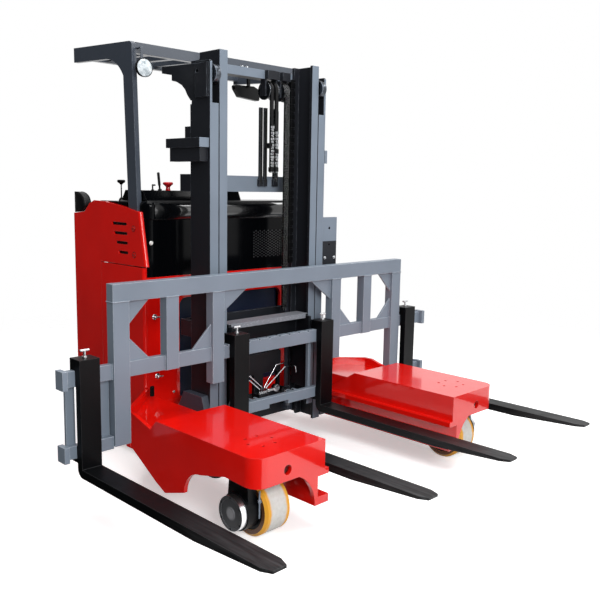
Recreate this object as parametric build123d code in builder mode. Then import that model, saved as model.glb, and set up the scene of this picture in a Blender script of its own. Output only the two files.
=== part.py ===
# Multidirectional forklift: a reach truck with a wide four-fork carriage, steerable load wheels
# and a standing operator's place. Millimetres, +Z up, +X to the right seen from the fork side,
# forks towards -Y. The origin is on the floor under the middle of the machine.
import os

from build123d import *

os.makedirs("parts", exist_ok=True)

# Driving sizes of the whole machine
fork_reach = 1245.0          # shank front to fork tip
body_reach = 1195.0          # shank front to the rear of the body
half_length = (fork_reach + body_reach) / 2
shank_y = fork_reach - half_length
frame_half = 1330.0          # middle of the machine to the outer face of the stop lugs
gap = 0.3                    # running gap between faces that slide or seat
clear = 6.0                  # room between moving pieces

# Forks
fork_width = 100.0
fork_thick = 40.0
fork_bottom = 201.0          # underside of the blade above the floor, as parked
shank_top = 745.0
fork_tip_thick = 12.0
fork_tip_width = 64.0
fork_nose = 50.0             # length of the corner cuts at the tip
fork_taper = 420.0           # length of blade that tapers to the tip
fork_places = {"fork_outer_left": 123 - frame_half, "fork_inner_left": -317.0,
               "fork_inner_right": 344.0, "fork_outer_right": frame_half - 185}
pin_radius = 6.0
pin_handle = 44.0
pin_height = 34.0

# Bars that carry the forks
bar_y = shank_y + fork_thick + 5
bar_thick = 32.0
bar_top = 692.0
bar_height = 73.0
lower_bar_bottom = 285.0
lower_bar_height = 60.0
lug_width = 25.0
notch_width = 12.0
notch_depth = 9.0
notch_pitch = 76.0
hook_drop = 14.0
hook_lip = 12.0

# Wide fork frame
frame_y = shank_y + 32
frame_depth = 55.0
rail_top = 1066.0
rail_height = 84.0
end_post = (frame_half - 349, frame_half - 264)
centre_post = (413.0, 487.0)
mid_post = ((centre_post[1] + end_post[0]) / 2 - 34, (centre_post[1] + end_post[0]) / 2 + 38)
centre_post_bottom = 500.0
end_post_bottom = 296.0
tube_wall = 6.0
gusset_thick = 10.0

# Mast
mast_y = shank_y + 134
mast_depth = 166.0
flange = 18.0
outer_x = (370.0, 426.0)
inner_x = (312.0, 364.0)
web = 14.0
outer_bottom = 110.0
outer_top = 1937.0
outer_web_top = 2148.0       # ears above the columns, with the guide rollers
ear_roller = (23.0, 2083.0)  # behind the mast's front, above the floor
ear_roller_r = 48.0
inner_bottom = 215.0
inner_top = 2206.0
lift_low = 90.0              # how far each stage goes down from the parked height
lift_high = 1350.0
mast_rear = mast_y + mast_depth
roller_r = mast_depth / 2 - flange - clear

# Lift cylinders
cyl_x = 352.0
cyl_r = 28.0
cyl_wall = 5.0
cyl_y = mast_rear + cyl_r + 3 + clear
cyl_bottom = 160.0
cyl_top = 1829.0
rod_r = 16.0
rod_bottom = 320.0

# Head of the inner stage, chain pulleys and chains
head_low = 2122.0
head_high = 2170.0
pulley_x = 240.0
hose_x = (122.0, 158.0)      # two hoses over one wide pulley on the right
hose_width = 22.0
hose_low = 1600.0
chain_low = 800.0
pulley_r = 52.0
pulley_y = mast_rear + 14
pulley_z = 2060.0
chain_thick = 12.0
chain_width = 30.0
chain_in = pulley_r - chain_thick + gap
chain_out = pulley_r + gap
hose_mid = sum(hose_x) / 2
# Middle, half room between the cheeks and half width of the groove of each pulley
pulleys_at = ((-pulley_x, 22.0, chain_width / 2 + 1), (pulley_x, 22.0, chain_width / 2 + 1),
              (hose_mid, 37.0, (hose_x[1] - hose_x[0] + hose_width) / 2 + 1))
runs = ((-pulley_x, chain_width, chain_low), (pulley_x, chain_width, chain_low),
        (hose_x[0], hose_width, hose_low), (hose_x[1], hose_width, hose_low))

# Tilt cylinders of the fork carriage
tilt_z = 325.0
tilt_x = 150.0

# Load legs
leg_in = 502.0
leg_out = 917.0
leg_front = shank_y - 788
leg_top = 417.0
leg_plate = 20.0
leg_corner = 70.0
leg_root_y = shank_y + 160   # where the leg starts to narrow towards the body
skirt_x = 563.0
rail_lip = 476.0
rail_floor = 157.0
rail_ceiling = 253.0
rail_base = 120.0
rail_head = 280.0
rail_back = 545.0
rail_end_y = shank_y + 425
skirt_low = 290.0            # top of the inner skirt behind the slope
root_floor = 361.0           # top of the root between its cheeks
cheek = 20.0

# Load wheels and their swivels
swivel_x = 735.0
swivel_y = leg_front + 176
load_wheel_r = 130.0
load_wheel_width = 148.0
load_tread = 16.0
swivel_r = 108.0
swivel_bolt_r = 8.0
swivel_bolt_pcd = 138.0
motor_r = 78.0
motor_reach = 167.0

# Body
body_half = 622.0
body_front = shank_y + 460
body_rear = half_length
body_floor = 110.0
panel_thick = 22.0
cover_bottom = 1028.0
cover_top = 1435.0
dash_top = 1488.0
dash_right = 85.0
battery_half = 380.0
battery_top = 890.0
battery_rear = body_front + 175
cabin_y = body_rear - 340              # partition between machinery and operator
cabin_floor = 262.0

# Overhead guard
guard_half = 612.0
guard_top = 2290.0           # at the rear, where the roof is highest
guard_drop = 28.0            # how much lower the roof is at the front
guard_beam = 60.0
guard_side = 80.0
guard_front = body_front + 97
guard_rear = body_rear - 30
post_x = (584.0, 612.0)
post_y = (body_front + 65, body_front + 151)
post_top_y = body_front + 183
panel_rise = (30.0, 1372.0, 0.1676)   # behind the body's front, height there, slope


def panel_top(y):
    """Height of the side panels' upper edge under the guard posts."""
    return panel_rise[1] + (y - body_front - panel_rise[0]) * panel_rise[2]


def roof(y, below=0.0):
    """Height of the tilted roof, or of a level under its top."""
    return guard_top - guard_drop * (guard_rear - y) / (guard_rear - guard_front) - below


def save(built, name):
    """Label one finished piece and write it."""
    built.part.label = name
    export_step(built.part, f"parts/{name}.step")


def block(x, y, z, mode=Mode.ADD):
    """A block between two values along each axis, in the open builder."""
    with Locations(((x[0] + x[1]) / 2, (y[0] + y[1]) / 2, (z[0] + z[1]) / 2)):
        Box(abs(x[1] - x[0]), abs(y[1] - y[0]), abs(z[1] - z[0]), mode=mode)


def profile(plane, points, amount, mode=Mode.ADD):
    """An outline of straight runs, extruded from its plane."""
    with BuildSketch(plane) as outline:
        with BuildLine():
            Polyline(*points, close=True)
        make_face()
    extrude(outline.sketch, amount=amount, mode=mode)


def disc(axis, centre, radius, length, mode=Mode.ADD):
    """A cylinder centred at a point, along X, Y or Z."""
    turn = {"X": (0, 90, 0), "Y": (90, 0, 0), "Z": (0, 0, 0)}[axis]
    with Locations(Location(centre, turn)):
        Cylinder(radius, length, mode=mode)


# Forks with their top and bottom hooks, and the locking pins on the top hooks
def fork(name, x):
    tip = -half_length
    with BuildPart() as piece:
        side = [(shank_y + fork_thick, shank_top), (shank_y, shank_top),
                (shank_y, fork_bottom + fork_thick), (tip, fork_bottom + fork_thick),
                (tip, fork_bottom + fork_thick - fork_tip_thick),
                (tip + fork_taper, fork_bottom), (shank_y + fork_thick, fork_bottom)]
        with BuildSketch(Plane.YZ.offset(x - fork_width / 2)):
            with BuildLine():
                Polyline(*side, close=True)
            make_face()
            heel = [v for v in vertices() if v.X > shank_y + fork_thick - 1 and v.Y < fork_bottom + 1]
            fillet(heel, fork_thick)
        extrude(amount=fork_width)
        inset = (fork_width - fork_tip_width) / 2
        for s in (-1, 1):
            edge = x + s * fork_width / 2
            profile(Plane.XY.offset(fork_bottom - 1),
                    [(edge + s, tip - 1), (edge - s * inset, tip - 1), (edge + s, tip + fork_nose)],
                    fork_thick + 2, Mode.SUBTRACT)
        # The upper hook goes over the bar and down behind it
        back = bar_y + bar_thick + gap + hook_lip
        half = (x - fork_width / 2, x + fork_width / 2)
        block(half, (shank_y + fork_thick, back), (bar_top + gap, shank_top))
        block(half, (back - hook_lip, back), (bar_top - hook_drop, bar_top + gap))
        block(half, (shank_y + fork_thick, bar_y - gap), (bar_top - bar_height, bar_top + gap))
        # The lower hook goes under the lower bar
        block(half, (shank_y + fork_thick, bar_y - gap),
              (lower_bar_bottom, lower_bar_bottom + lower_bar_height))
        block(half, (shank_y + fork_thick, bar_y + bar_thick + gap + hook_lip),
              (lower_bar_bottom - gap - 20, lower_bar_bottom - gap))
        block(half, (back - hook_lip, back),
              (lower_bar_bottom - gap, lower_bar_bottom + hook_drop))
        # Locking pin with its cross handle
        top = shank_top + pin_height
        disc("Z", (x, bar_y, (shank_top + top) / 2), pin_radius, pin_height)
        disc("X", (x, bar_y, top), pin_radius, pin_handle)
        disc("Z", (x, bar_y, shank_top + 4), pin_radius * 1.8, 8)
    save(piece, name)


for fork_name, fork_x in fork_places.items():
    fork(fork_name, fork_x)


# Upper fork bar, one length with locking notches, and the three lower bars
bar_back = bar_y + bar_thick
with BuildPart() as bars:
    block((-frame_half + lug_width, frame_half - lug_width), (bar_y, bar_back),
          (bar_top - bar_height, bar_top))
    steps = int((centre_post[0] - notch_width) / notch_pitch)
    for i in range(-steps, steps + 1):
        block((i * notch_pitch - notch_width / 2, i * notch_pitch + notch_width / 2),
              (bar_y - 1, bar_back + 1), (bar_top - notch_depth, bar_top + 1), Mode.SUBTRACT)
    # The bar passes the posts in their own slots, so it is cut back to their faces
    for s in (-1, 1):
        for post in (centre_post, mid_post, end_post):
            block((s * (post[0] - gap), s * (post[1] + gap)), (bar_y - 1, bar_back + 1),
                  (bar_top - bar_height - 1, bar_top + 1), Mode.SUBTRACT)
    lower = (lower_bar_bottom, lower_bar_bottom + lower_bar_height)
    reach = centre_post[0] - 8
    block((-reach, reach), (bar_y, bar_back), lower)
    block((-75, 75), (bar_y - 1, bar_back + 1), (lower[0] - 1, lower[0] + 22), Mode.SUBTRACT)
    for s in (-1, 1):
        block((s * (end_post[1] + gap), s * (frame_half - lug_width)), (bar_y, bar_back), lower)
save(bars, "fork_bars")

# Frame rail and posts, rectangular tube
rail_bottom = rail_top - rail_height
with BuildPart() as rail:
    block((-end_post[1], end_post[1]), (frame_y, frame_y + frame_depth), (rail_bottom, rail_top))
    inside = tube_wall
    block((-end_post[1] + inside, end_post[1] - inside),
          (frame_y + inside, frame_y + frame_depth - inside),
          (rail_bottom + inside, rail_top - inside), Mode.SUBTRACT)
save(rail, "frame_top_rail")

with BuildPart() as posts:
    for s in (-1, 1):
        for post, foot in ((end_post, end_post_bottom), (mid_post, bar_top - bar_height),
                           (centre_post, centre_post_bottom)):
            block((s * post[0], s * post[1]), (frame_y, frame_y + frame_depth), (foot, rail_bottom))
    # Corner gussets, flat plates in the plane of the frame
    g = 120.0
    plate_y = frame_y + frame_depth / 2
    spots = [(end_post[0], -1, rail_bottom, -1), (end_post[0], -1, bar_top, 1),
             (centre_post[1], 1, bar_top, 1), (centre_post[0], -1.4, rail_bottom, -1)]
    for s in (-1, 1):
        for x, out, z, up in spots:
            profile(Plane.XZ.offset(-plate_y),
                    [(s * x, z), (s * (x + out * g), z), (s * x, z + up * g)], gusset_thick)
save(posts, "frame_posts")

# Tie plates between the bars: two on each wing, and the side plates of the middle
with BuildPart() as ties:
    tie_y = (bar_back, bar_back + 16)
    for s in (-1, 1):
        for x0, x1 in ((end_post[1] + 4, end_post[1] + 52), (frame_half - 85, frame_half - 40)):
            block((s * x0, s * x1), tie_y, (lower_bar_bottom + hook_drop + clear, bar_top - hook_drop - clear))
        block((s * 264, s * 282), (bar_back, bar_back + 22), (lower_bar_bottom + hook_drop + clear, 600))
        profile(Plane.YZ.offset(s * 264),
                [(bar_back, 600), (bar_back, bar_top - hook_drop - clear), (mast_y + 1, 672),
                 (mast_y + 3, 638), (bar_back + 22, 600)], s * 18)
        disc("X", (s * 273, mast_y - 19, 655), 15 + gap, 40, Mode.SUBTRACT)
        # ear that the tilt rod takes hold of
        for e in (-1, 1):
            block((s * 150 + e * 14, s * 150 + e * 26), (bar_back, bar_back + 38), (tilt_z - 19, tilt_z + 19))
        disc("X", (s * 150, bar_back + 24, tilt_z), 10, 52)
    # End stops of the wing bars
    for s in (-1, 1):
        for z in (lower_bar_bottom, bar_top - bar_height):
            block((s * (frame_half - lug_width), s * frame_half), (bar_y - 26, bar_back + 8),
                  (z - 6, z + (lower_bar_height if z < 400 else bar_height) + 8))
save(ties, "frame_ties")


# Mast channels, open towards the middle
def channel(s, x, bottom, top):
    """One channel of a mast stage, extruded upwards."""
    points = [(s * x[0], mast_y), (s * x[1], mast_y), (s * x[1], mast_rear), (s * x[0], mast_rear),
              (s * x[0], mast_rear - flange), (s * (x[1] - web), mast_rear - flange),
              (s * (x[1] - web), mast_y + flange), (s * x[0], mast_y + flange)]
    profile(Plane.XY.offset(bottom), points, top - bottom)


with BuildPart() as outer_rails:
    for s in (-1, 1):
        channel(s, outer_x, outer_bottom, outer_top)
        ear = mast_y + ear_roller[0]
        profile(Plane.YZ.offset(s * outer_x[1]),
                [(mast_y, outer_top), (mast_rear - 11, outer_top), (mast_rear - 27, outer_web_top - 50),
                 (mast_rear - 46, outer_web_top), (mast_y + 8, outer_web_top), (mast_y, outer_web_top - 10)],
                -s * web)
        block((s * outer_x[1], s * (outer_x[1] + 12)), (mast_y + 14, mast_y + 110),
              (outer_top + 30, outer_web_top - 12))
        disc("X", (s * outer_x[1], mast_y + 94, outer_web_top - 50), 11, 60, Mode.SUBTRACT)
        disc("X", (s * (inner_x[1] + 25), ear, ear_roller[1]), ear_roller_r, 34)
        disc("X", (s * (inner_x[1] + 40), ear, ear_roller[1]), 14, 24)
    # Curved rear bracket of the left column, which reaches back under the guard
    profile(Plane.YZ.offset(-outer_x[1]),
            [(mast_y + a, z) for a, z in ((120, 1960), (163, 1956), (192, 1986), (213, 2017), (241, 2040),
                                          (285, 2060), (330, 2070), (330, 2099), (420, 2115), (420, 2150),
                                          (120, 2140))], web)
save(outer_rails, "outer_mast_rails")

with BuildPart() as inner_rails:
    for s in (-1, 1):
        channel(s, inner_x, inner_bottom, inner_top)
save(inner_rails, "inner_mast_rails")

# Cross members of the outer stage go round behind the lift cylinders
cross_y = cyl_y + cyl_r + clear
with BuildPart() as outer_cross:
    for low, high in ((outer_bottom, 230), (700, 790), (1487, 1578)):
        block((-outer_x[1], outer_x[1]), (cross_y, cross_y + 22), (low, high))
        for s in (-1, 1):
            block((s * 398, s * outer_x[1]), (mast_rear, cross_y), (low, high))
    # Rear runs of the lift chains, up from their anchors
    for x, width, _ in runs:
        y = pulley_y + (chain_in + chain_out) / 2
        block((x - width / 2, x + width / 2), (y - chain_thick / 2, y + chain_thick / 2),
              (1540, pulley_z - lift_low))
        block((x - width / 2 - 4, x + width / 2 + 4), (y - chain_thick / 2, cross_y), (1520, 1560))
    # Side bracket on the left column and hose plate on the right column
    block((-outer_x[1] - 62, -outer_x[1]), (mast_y + 8, mast_y + 300), (1713, 1761))
    block((-outer_x[1] - 50, -outer_x[1]), (mast_y + 20, mast_y + 281), (1642, 1713))
    block((-outer_x[1], -outer_x[1] + web), (mast_rear, mast_rear + 48), (1761, 1825))
    block((outer_x[1], 547), (mast_y, mast_y + 16), (900, 1343))
    for z in (1178, 1278):
        disc("Y", (482, mast_y + 8, z), 8, 40, Mode.SUBTRACT)
save(outer_cross, "outer_mast_cross_members")

# Lift cylinders: hollow tubes standing on feet of the lowest cross member
with BuildPart() as cylinders:
    for s in (-1, 1):
        disc("Z", (s * cyl_x, cyl_y, (cyl_bottom + cyl_top) / 2), cyl_r, cyl_top - cyl_bottom)
        disc("Z", (s * cyl_x, cyl_y, cyl_top + 20), cyl_r + 3, 40)
        disc("Z", (s * cyl_x, cyl_y, cyl_bottom + 20 + (cyl_top - cyl_bottom) / 2),
             cyl_r - cyl_wall, cyl_top - cyl_bottom - 20, Mode.SUBTRACT)
        disc("Z", (s * cyl_x, cyl_y, cyl_top + 20), rod_r + gap, 42, Mode.SUBTRACT)
        block((s * (cyl_x - 20), s * (cyl_x + 20)), (cyl_y - 20, cross_y), (cyl_bottom - 30, cyl_bottom))
save(cylinders, "lift_cylinders")

# Head of the inner stage: cross beam over the rods, with two pulley forks
with BuildPart() as head:
    block((-inner_x[1], inner_x[1]), (mast_rear, mast_rear + 75), (head_low, head_high))
    for x, room, _ in pulleys_at:
        for e in (-1, 1):
            block((x + e * room, x + e * (room + 8)), (pulley_y - 22, pulley_y + 22), (pulley_z - 30, head_low))
        block((x - room - 8, x + room + 8), (mast_rear - 30, mast_rear), (head_low, head_high))
    block((-inner_x[0], inner_x[0]), (mast_rear - 13, mast_rear - 1), (inner_bottom + 10, inner_bottom + 85))
save(head, "inner_mast_cross_members")

with BuildPart() as rods:
    for s in (-1, 1):
        disc("Z", (s * cyl_x, cyl_y, (rod_bottom + head_low) / 2), rod_r, head_low - rod_bottom)
save(rods, "lift_rods")

with BuildPart() as pulleys:
    for x, room, groove in pulleys_at:
        with BuildSketch(Plane.YZ.offset(x - room + gap)):
            with Locations((pulley_y, pulley_z)):
                Circle(pulley_r)
        extrude(amount=2 * (room - gap))
        with BuildSketch(Plane.YZ.offset(x - groove)):
            with Locations((pulley_y, pulley_z)):
                Circle(pulley_r + 1)
                Circle(pulley_r - chain_thick, mode=Mode.SUBTRACT)
        extrude(amount=2 * groove, mode=Mode.SUBTRACT)
    # Rollers of this stage, running in the outer channels
    for s in (-1, 1):
        for z, y in ((inner_bottom + 70, mast_rear - flange - roller_r - gap),
                     (inner_bottom + 420, mast_y + flange + roller_r + gap)):
            disc("X", (s * 390, y, z), roller_r, 34)
            disc("X", (s * 368.5, y, z), 20, 9)
save(pulleys, "mast_rollers")

# Chains: over the pulley and down in front to the carriage, and behind down to the outer stage
with BuildPart() as chains:
    for x, width, low in runs:
        with BuildSketch(Plane.YZ.offset(x - width / 2)):
            with Locations((pulley_y, pulley_z)):
                Circle(chain_out)
                Circle(chain_in, mode=Mode.SUBTRACT)
            with Locations((pulley_y, pulley_z - chain_out)):
                Rectangle(3 * chain_out, 2 * chain_out, mode=Mode.SUBTRACT)
            with Locations((pulley_y - (chain_in + chain_out) / 2, (pulley_z + low) / 2)):
                Rectangle(chain_out - chain_in, pulley_z - low)
        extrude(amount=width)
    # Ribbed hose carrier on the right of the inner stage
    links = 24
    pitch = 44.0
    top = head_low
    side = inner_x[0] - clear - 2
    block((side - 27, side - 5), (mast_rear - 34, mast_rear - 8), (top - links * pitch, top))
    for i in range(links):
        z = top - (i + 0.5) * pitch
        block((side - 32, side), (mast_rear - 37, mast_rear - 5), (z - pitch * 0.36, z + pitch * 0.36))
    block((side - 32, side), (mast_rear - 37, mast_rear), (top, top + 12))
save(chains, "lift_chains_and_hose_carrier")

# Lift carriage: side plates with rollers, cross plates, the top shelf and the tilt cylinders
car_low = 330.0
car_high = 743.0
car_plate = (288.0, 304.0)
shelf_low = car_high + 21
back_plate = (mast_y + 76, mast_y + 96)
pipe_y = mast_y + 41
manifold = (296.0, 330.0)
with BuildPart() as carriage:
    for s in (-1, 1):
        profile(Plane.YZ.offset(s * car_plate[0]),
                [(mast_y - 29, car_low + 60), (mast_y - 4, car_low), (mast_y + 111, car_low),
                 (mast_y + 111, shelf_low), (mast_y - 34, shelf_low), (mast_y - 34, 610)],
                s * (car_plate[1] - car_plate[0]))
        disc("X", (s * 283, mast_y - 19, 655), 15, 42)
    block((-car_plate[0], car_plate[0]), back_plate, (car_high - 90, car_high))
    block((-car_plate[0], tilt_x + 15), back_plate, (car_low + 110, car_low + 230))
    block((60, tilt_x), back_plate, (car_low + 230, car_high - 90))
    block((-45, 25), back_plate, (manifold[0], car_low + 110))
    block((-45, 25), (pipe_y - 12, back_plate[0]), manifold)
    block((-car_plate[1], car_plate[1]), (mast_y - 4, mast_y + 91), (shelf_low, shelf_low + 12))
save(carriage, "lift_carriage")

with BuildPart() as rollers:
    for s in (-1, 1):
        for z, y in ((car_low + roller_r + 20, mast_rear - flange - roller_r - gap),
                     (car_high - roller_r - 10, mast_y + flange + roller_r + gap)):
            disc("X", (s * 325, y, z), roller_r, 36)
            disc("X", (s * 305.5, y, z), 20, 3)
save(rollers, "carriage_rollers")

with BuildPart() as tilt_tubes:
    for s in (-1, 1):
        disc("Y", (s * tilt_x, mast_y + 72.5, tilt_z), 22, 93)
        disc("Y", (s * tilt_x, mast_y + 67, tilt_z), 12 + gap, 92, Mode.SUBTRACT)
        block((s * (tilt_x - 10), s * (tilt_x + 10)), back_plate, (tilt_z + 16, car_low + 110))
save(tilt_tubes, "tilt_cylinders")

with BuildPart() as tilt_rods:
    for s in (-1, 1):
        disc("Y", (s * tilt_x, mast_y + 37.5, tilt_z), 12, 111)
        disc("X", (s * tilt_x, bar_back + 24, tilt_z), 19, 26)
        disc("X", (s * tilt_x, bar_back + 24, tilt_z), 13.5, 28, Mode.SUBTRACT)
save(tilt_rods, "tilt_rods")

# Steel hydraulic pipes that fan out of the block behind the bars
with BuildPart() as pipes:
    for route_points in (((-33, 361), (-108, 425), (-165, 425)),
                         ((-17, 372), (-108, 450), (-165, 450)),
                         ((-1, 364), (96, 486), (175, 488)),
                         ((14, 360), (166, 463), (252, 459), (262, 415))):
        with BuildLine() as route:
            FilletPolyline((route_points[0][0], pipe_y, manifold[1]),
                           *[(x, pipe_y, z) for x, z in route_points], radius=10)
        with BuildSketch(Plane(origin=route.line @ 0, z_dir=route.line % 0)):
            Circle(4)
        sweep(path=route.line)
save(pipes, "hydraulic_pipes")

# Reach carriage: side plates that carry the mast, and rollers that run in the rails of the legs
reach_x = (outer_x[1], 468.0)
reach_roller_r = 46.0
reach_stroke = 560.0
with BuildPart() as reach_plates:
    for s in (-1, 1):
        profile(Plane.YZ.offset(s * reach_x[0]),
                [(mast_y - 9, 125), (mast_y + 241, 125), (mast_y + 241, 290), (mast_y + 181, 400), (mast_y + 20, 400),
                 (mast_y - 9, 300)], s * (reach_x[1] - reach_x[0]))
    for s in (-1, 1):
        for y in (mast_y + 50, mast_y + 186):
            disc("X", (s * 508, y, rail_floor + reach_roller_r + gap), reach_roller_r, 60)
            disc("X", (s * 473, y, rail_floor + reach_roller_r + gap), 20, 10)
save(reach_plates, "reach_carriage")

# Load legs: welded boxes, open below, with a rail on the inner side
root_low = 227.0
root_high = 409.0
leg_break = leg_root_y - 242
arch = swivel_y + 312


def leg(s, name):
    with BuildPart() as piece:
        with BuildSketch(Plane.YZ.offset(s * skirt_x)):
            with BuildLine():
                Polyline((leg_front, leg_top), (leg_break, leg_top), (leg_break + 50, root_floor + 4),
                         (leg_root_y - 38, root_high), (leg_root_y, root_high), (leg_root_y, root_low),
                         (leg_root_y - 38, root_low), (leg_root_y - 236, 116), (leg_root_y - 310, 83),
                         (arch, 130))
                ThreePointArc((arch, 130), (arch - 37, 214), (arch - 120, 250))
                Polyline((arch - 120, 250), (arch - 294, 293), (leg_front, 283), (leg_front, leg_top))
            make_face()
        extrude(amount=s * (leg_out - skirt_x))
        corner = [e for e in edges().filter_by(Axis.Z)
                  if abs(e.center().X - s * leg_out) < 1 and abs(e.center().Y - leg_front) < 1]
        fillet(corner, leg_corner)
        # Root that narrows to the width of the body
        profile(Plane.XY.offset(root_low),
                [(s * skirt_x, leg_root_y - 30), (s * leg_out, leg_root_y - 30), (s * leg_out, leg_root_y + 20),
                 (s * body_half, body_front), (s * skirt_x, body_front)], root_high - root_low)
        # Floor of the root, lower than the outer cheek
        profile(Plane.YZ.offset(s * (skirt_x - 1)),
                [(leg_break + 1, leg_top + 1), (leg_break + 56, root_floor), (leg_root_y, root_floor),
                 (leg_root_y, leg_top + 1)], s * (leg_out - cheek - skirt_x + 1), Mode.SUBTRACT)
        profile(Plane.XY.offset(root_floor),
                [(s * (skirt_x - 1), leg_root_y - 40), (s * (leg_out - cheek), leg_root_y - 40),
                 (s * (leg_out - cheek), leg_root_y + 11), (s * (body_half - 30), body_front + 1),
                 (s * (skirt_x - 1), body_front + 1)], 70, Mode.SUBTRACT)
        # Hollow from below
        wide = leg_out - skirt_x - 2 * leg_plate
        for y0, y1, ceiling in ((leg_front + leg_plate, leg_root_y - 275, leg_top - leg_plate),
                                (leg_root_y - 325, leg_root_y + 10, 340)):
            with BuildSketch(Plane.XY):
                with Locations((s * (leg_out + skirt_x) / 2, (y0 + y1) / 2)):
                    RectangleRounded(wide, y1 - y0, leg_corner - leg_plate)
            extrude(amount=ceiling, mode=Mode.SUBTRACT)
        # Inner skirt and reach rail
        profile(Plane.YZ.offset(s * leg_in),
                [(leg_front, rail_base), (leg_front, leg_top), (leg_break, leg_top),
                 (leg_break + 166, 314), (leg_break + 204, skirt_low), (body_front, skirt_low),
                 (body_front, rail_base)], s * (skirt_x - leg_in))
        for low, high in ((rail_base, rail_floor), (rail_ceiling, rail_head)):
            block((s * rail_lip, s * leg_in), (leg_front, rail_end_y), (low, high))
        block((s * (rail_lip - 1), s * rail_back), (leg_front - 1, rail_end_y),
              (rail_floor, rail_ceiling), Mode.SUBTRACT)
        # Arch of the front plate beside the wheel
        with BuildSketch(Plane.XZ.offset(-leg_front)):
            with BuildLine():
                ThreePointArc((s * skirt_x, 134), (s * (skirt_x + 29), 222), (s * (skirt_x + 105), 285))
                Polyline((s * (skirt_x + 105), 285), (s * skirt_x, 285), (s * skirt_x, 134))
            make_face()
        extrude(amount=-leg_plate)
        disc("Y", (s * (skirt_x + 169), leg_front + leg_plate / 2, 333), 22, leg_plate + 4, Mode.SUBTRACT)
        # Ring that the swivel hangs from, with its bolt holes
        disc("Z", (s * swivel_x, swivel_y, leg_top - leg_plate - 12), swivel_r + 12, 24)
        disc("Z", (s * swivel_x, swivel_y, leg_top - leg_plate - 12), 50, 26, Mode.SUBTRACT)
        with Locations((s * swivel_x, swivel_y, leg_top - 22)):
            with PolarLocations(swivel_bolt_pcd / 2, 6):
                Cylinder(swivel_bolt_r, 46, mode=Mode.SUBTRACT)
    save(piece, name)


swivel_top = leg_top - leg_plate - 24 - gap


def swivel(s, side):
    arm_in = load_wheel_width / 2 + 5
    gear_out = motor_reach - 30
    with BuildPart() as head:
        disc("Z", (s * swivel_x, swivel_y, swivel_top - 12), swivel_r, 24)
        disc("Z", (s * swivel_x, swivel_y, swivel_top + 8), 48, 16)
        block((s * (swivel_x - 40), s * (swivel_x + arm_in + 45)), (swivel_y - 60, swivel_y + 60),
              (2 * load_wheel_r + 16, swivel_top - 24))
        profile(Plane.YZ.offset(s * (swivel_x + arm_in)),
                [(swivel_y - 75, load_wheel_r), (swivel_y + 75, load_wheel_r),
                 (swivel_y + 60, 2 * load_wheel_r + 16), (swivel_y - 60, 2 * load_wheel_r + 16)], s * 45)
        disc("X", (s * (swivel_x + (arm_in + gear_out) / 2), swivel_y, load_wheel_r), 85, gear_out - arm_in)
        disc("X", (s * (swivel_x + arm_in - 45), swivel_y, load_wheel_r), 20, 90)
    save(head, f"load_swivel_{side}")
    with BuildPart() as motor:
        with BuildSketch(Plane.YZ.offset(s * (swivel_x + gear_out))):
            with Locations((swivel_y, load_wheel_r)):
                Circle(motor_r)
        extrude(amount=s * (motor_reach - gear_out))
        disc("X", (s * (swivel_x + motor_reach), swivel_y, load_wheel_r), motor_r - 14, 6, Mode.SUBTRACT)
        disc("X", (s * (swivel_x + motor_reach - 2), swivel_y, load_wheel_r), 26, 4)
    save(motor, f"load_motor_{side}")
    with BuildPart() as tyre:
        half = load_wheel_width / 2
        x = s * swivel_x
        with BuildSketch(Plane.XZ):
            with BuildLine():
                Polyline((x - half, load_wheel_r - 14), (x - half + 12, load_wheel_r), (x + half - 12, load_wheel_r),
                         (x + half, load_wheel_r - 14), (x + half, load_wheel_r - load_tread - 16),
                         (x - half, load_wheel_r - load_tread - 16), close=True)
            make_face()
        revolve(axis=Axis.X)
    save_wheel(tyre, f"load_tyre_{side}", (0, swivel_y, load_wheel_r))
    with BuildPart() as hub:
        rim = load_wheel_r - load_tread - 16
        disc("X", (x, 0, 0), rim, load_wheel_width - 8)
        for e in (-1, 1):
            disc("X", (x + e * half, 0, 0), rim - 14, 34, Mode.SUBTRACT)
            disc("X", (x + e * 30, 0, 0), 34, 26)
        disc("X", (x, 0, 0), 20 + gap, load_wheel_width, Mode.SUBTRACT)
    save_wheel(hub, f"load_hub_{side}", (0, swivel_y, load_wheel_r))


def save_wheel(built, name, centre):
    """Move a wheel made about the X axis to its axle, and write it."""
    built.part = Pos(*centre) * built.part
    save(built, name)


for side, s in (("left", -1), ("right", 1)):
    leg(s, f"load_leg_{side}")
    swivel(s, side)

# Swivel motors under the top plates of the legs
with BuildPart() as swivel_motors:
    for s in (-1, 1):
        disc("Z", (s * 800, swivel_y + 225, (215 + leg_top - leg_plate) / 2), 42, leg_top - leg_plate - 215)
        disc("Z", (s * 800, swivel_y + 225, 212), 26, 14)
save(swivel_motors, "swivel_motors")

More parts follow.
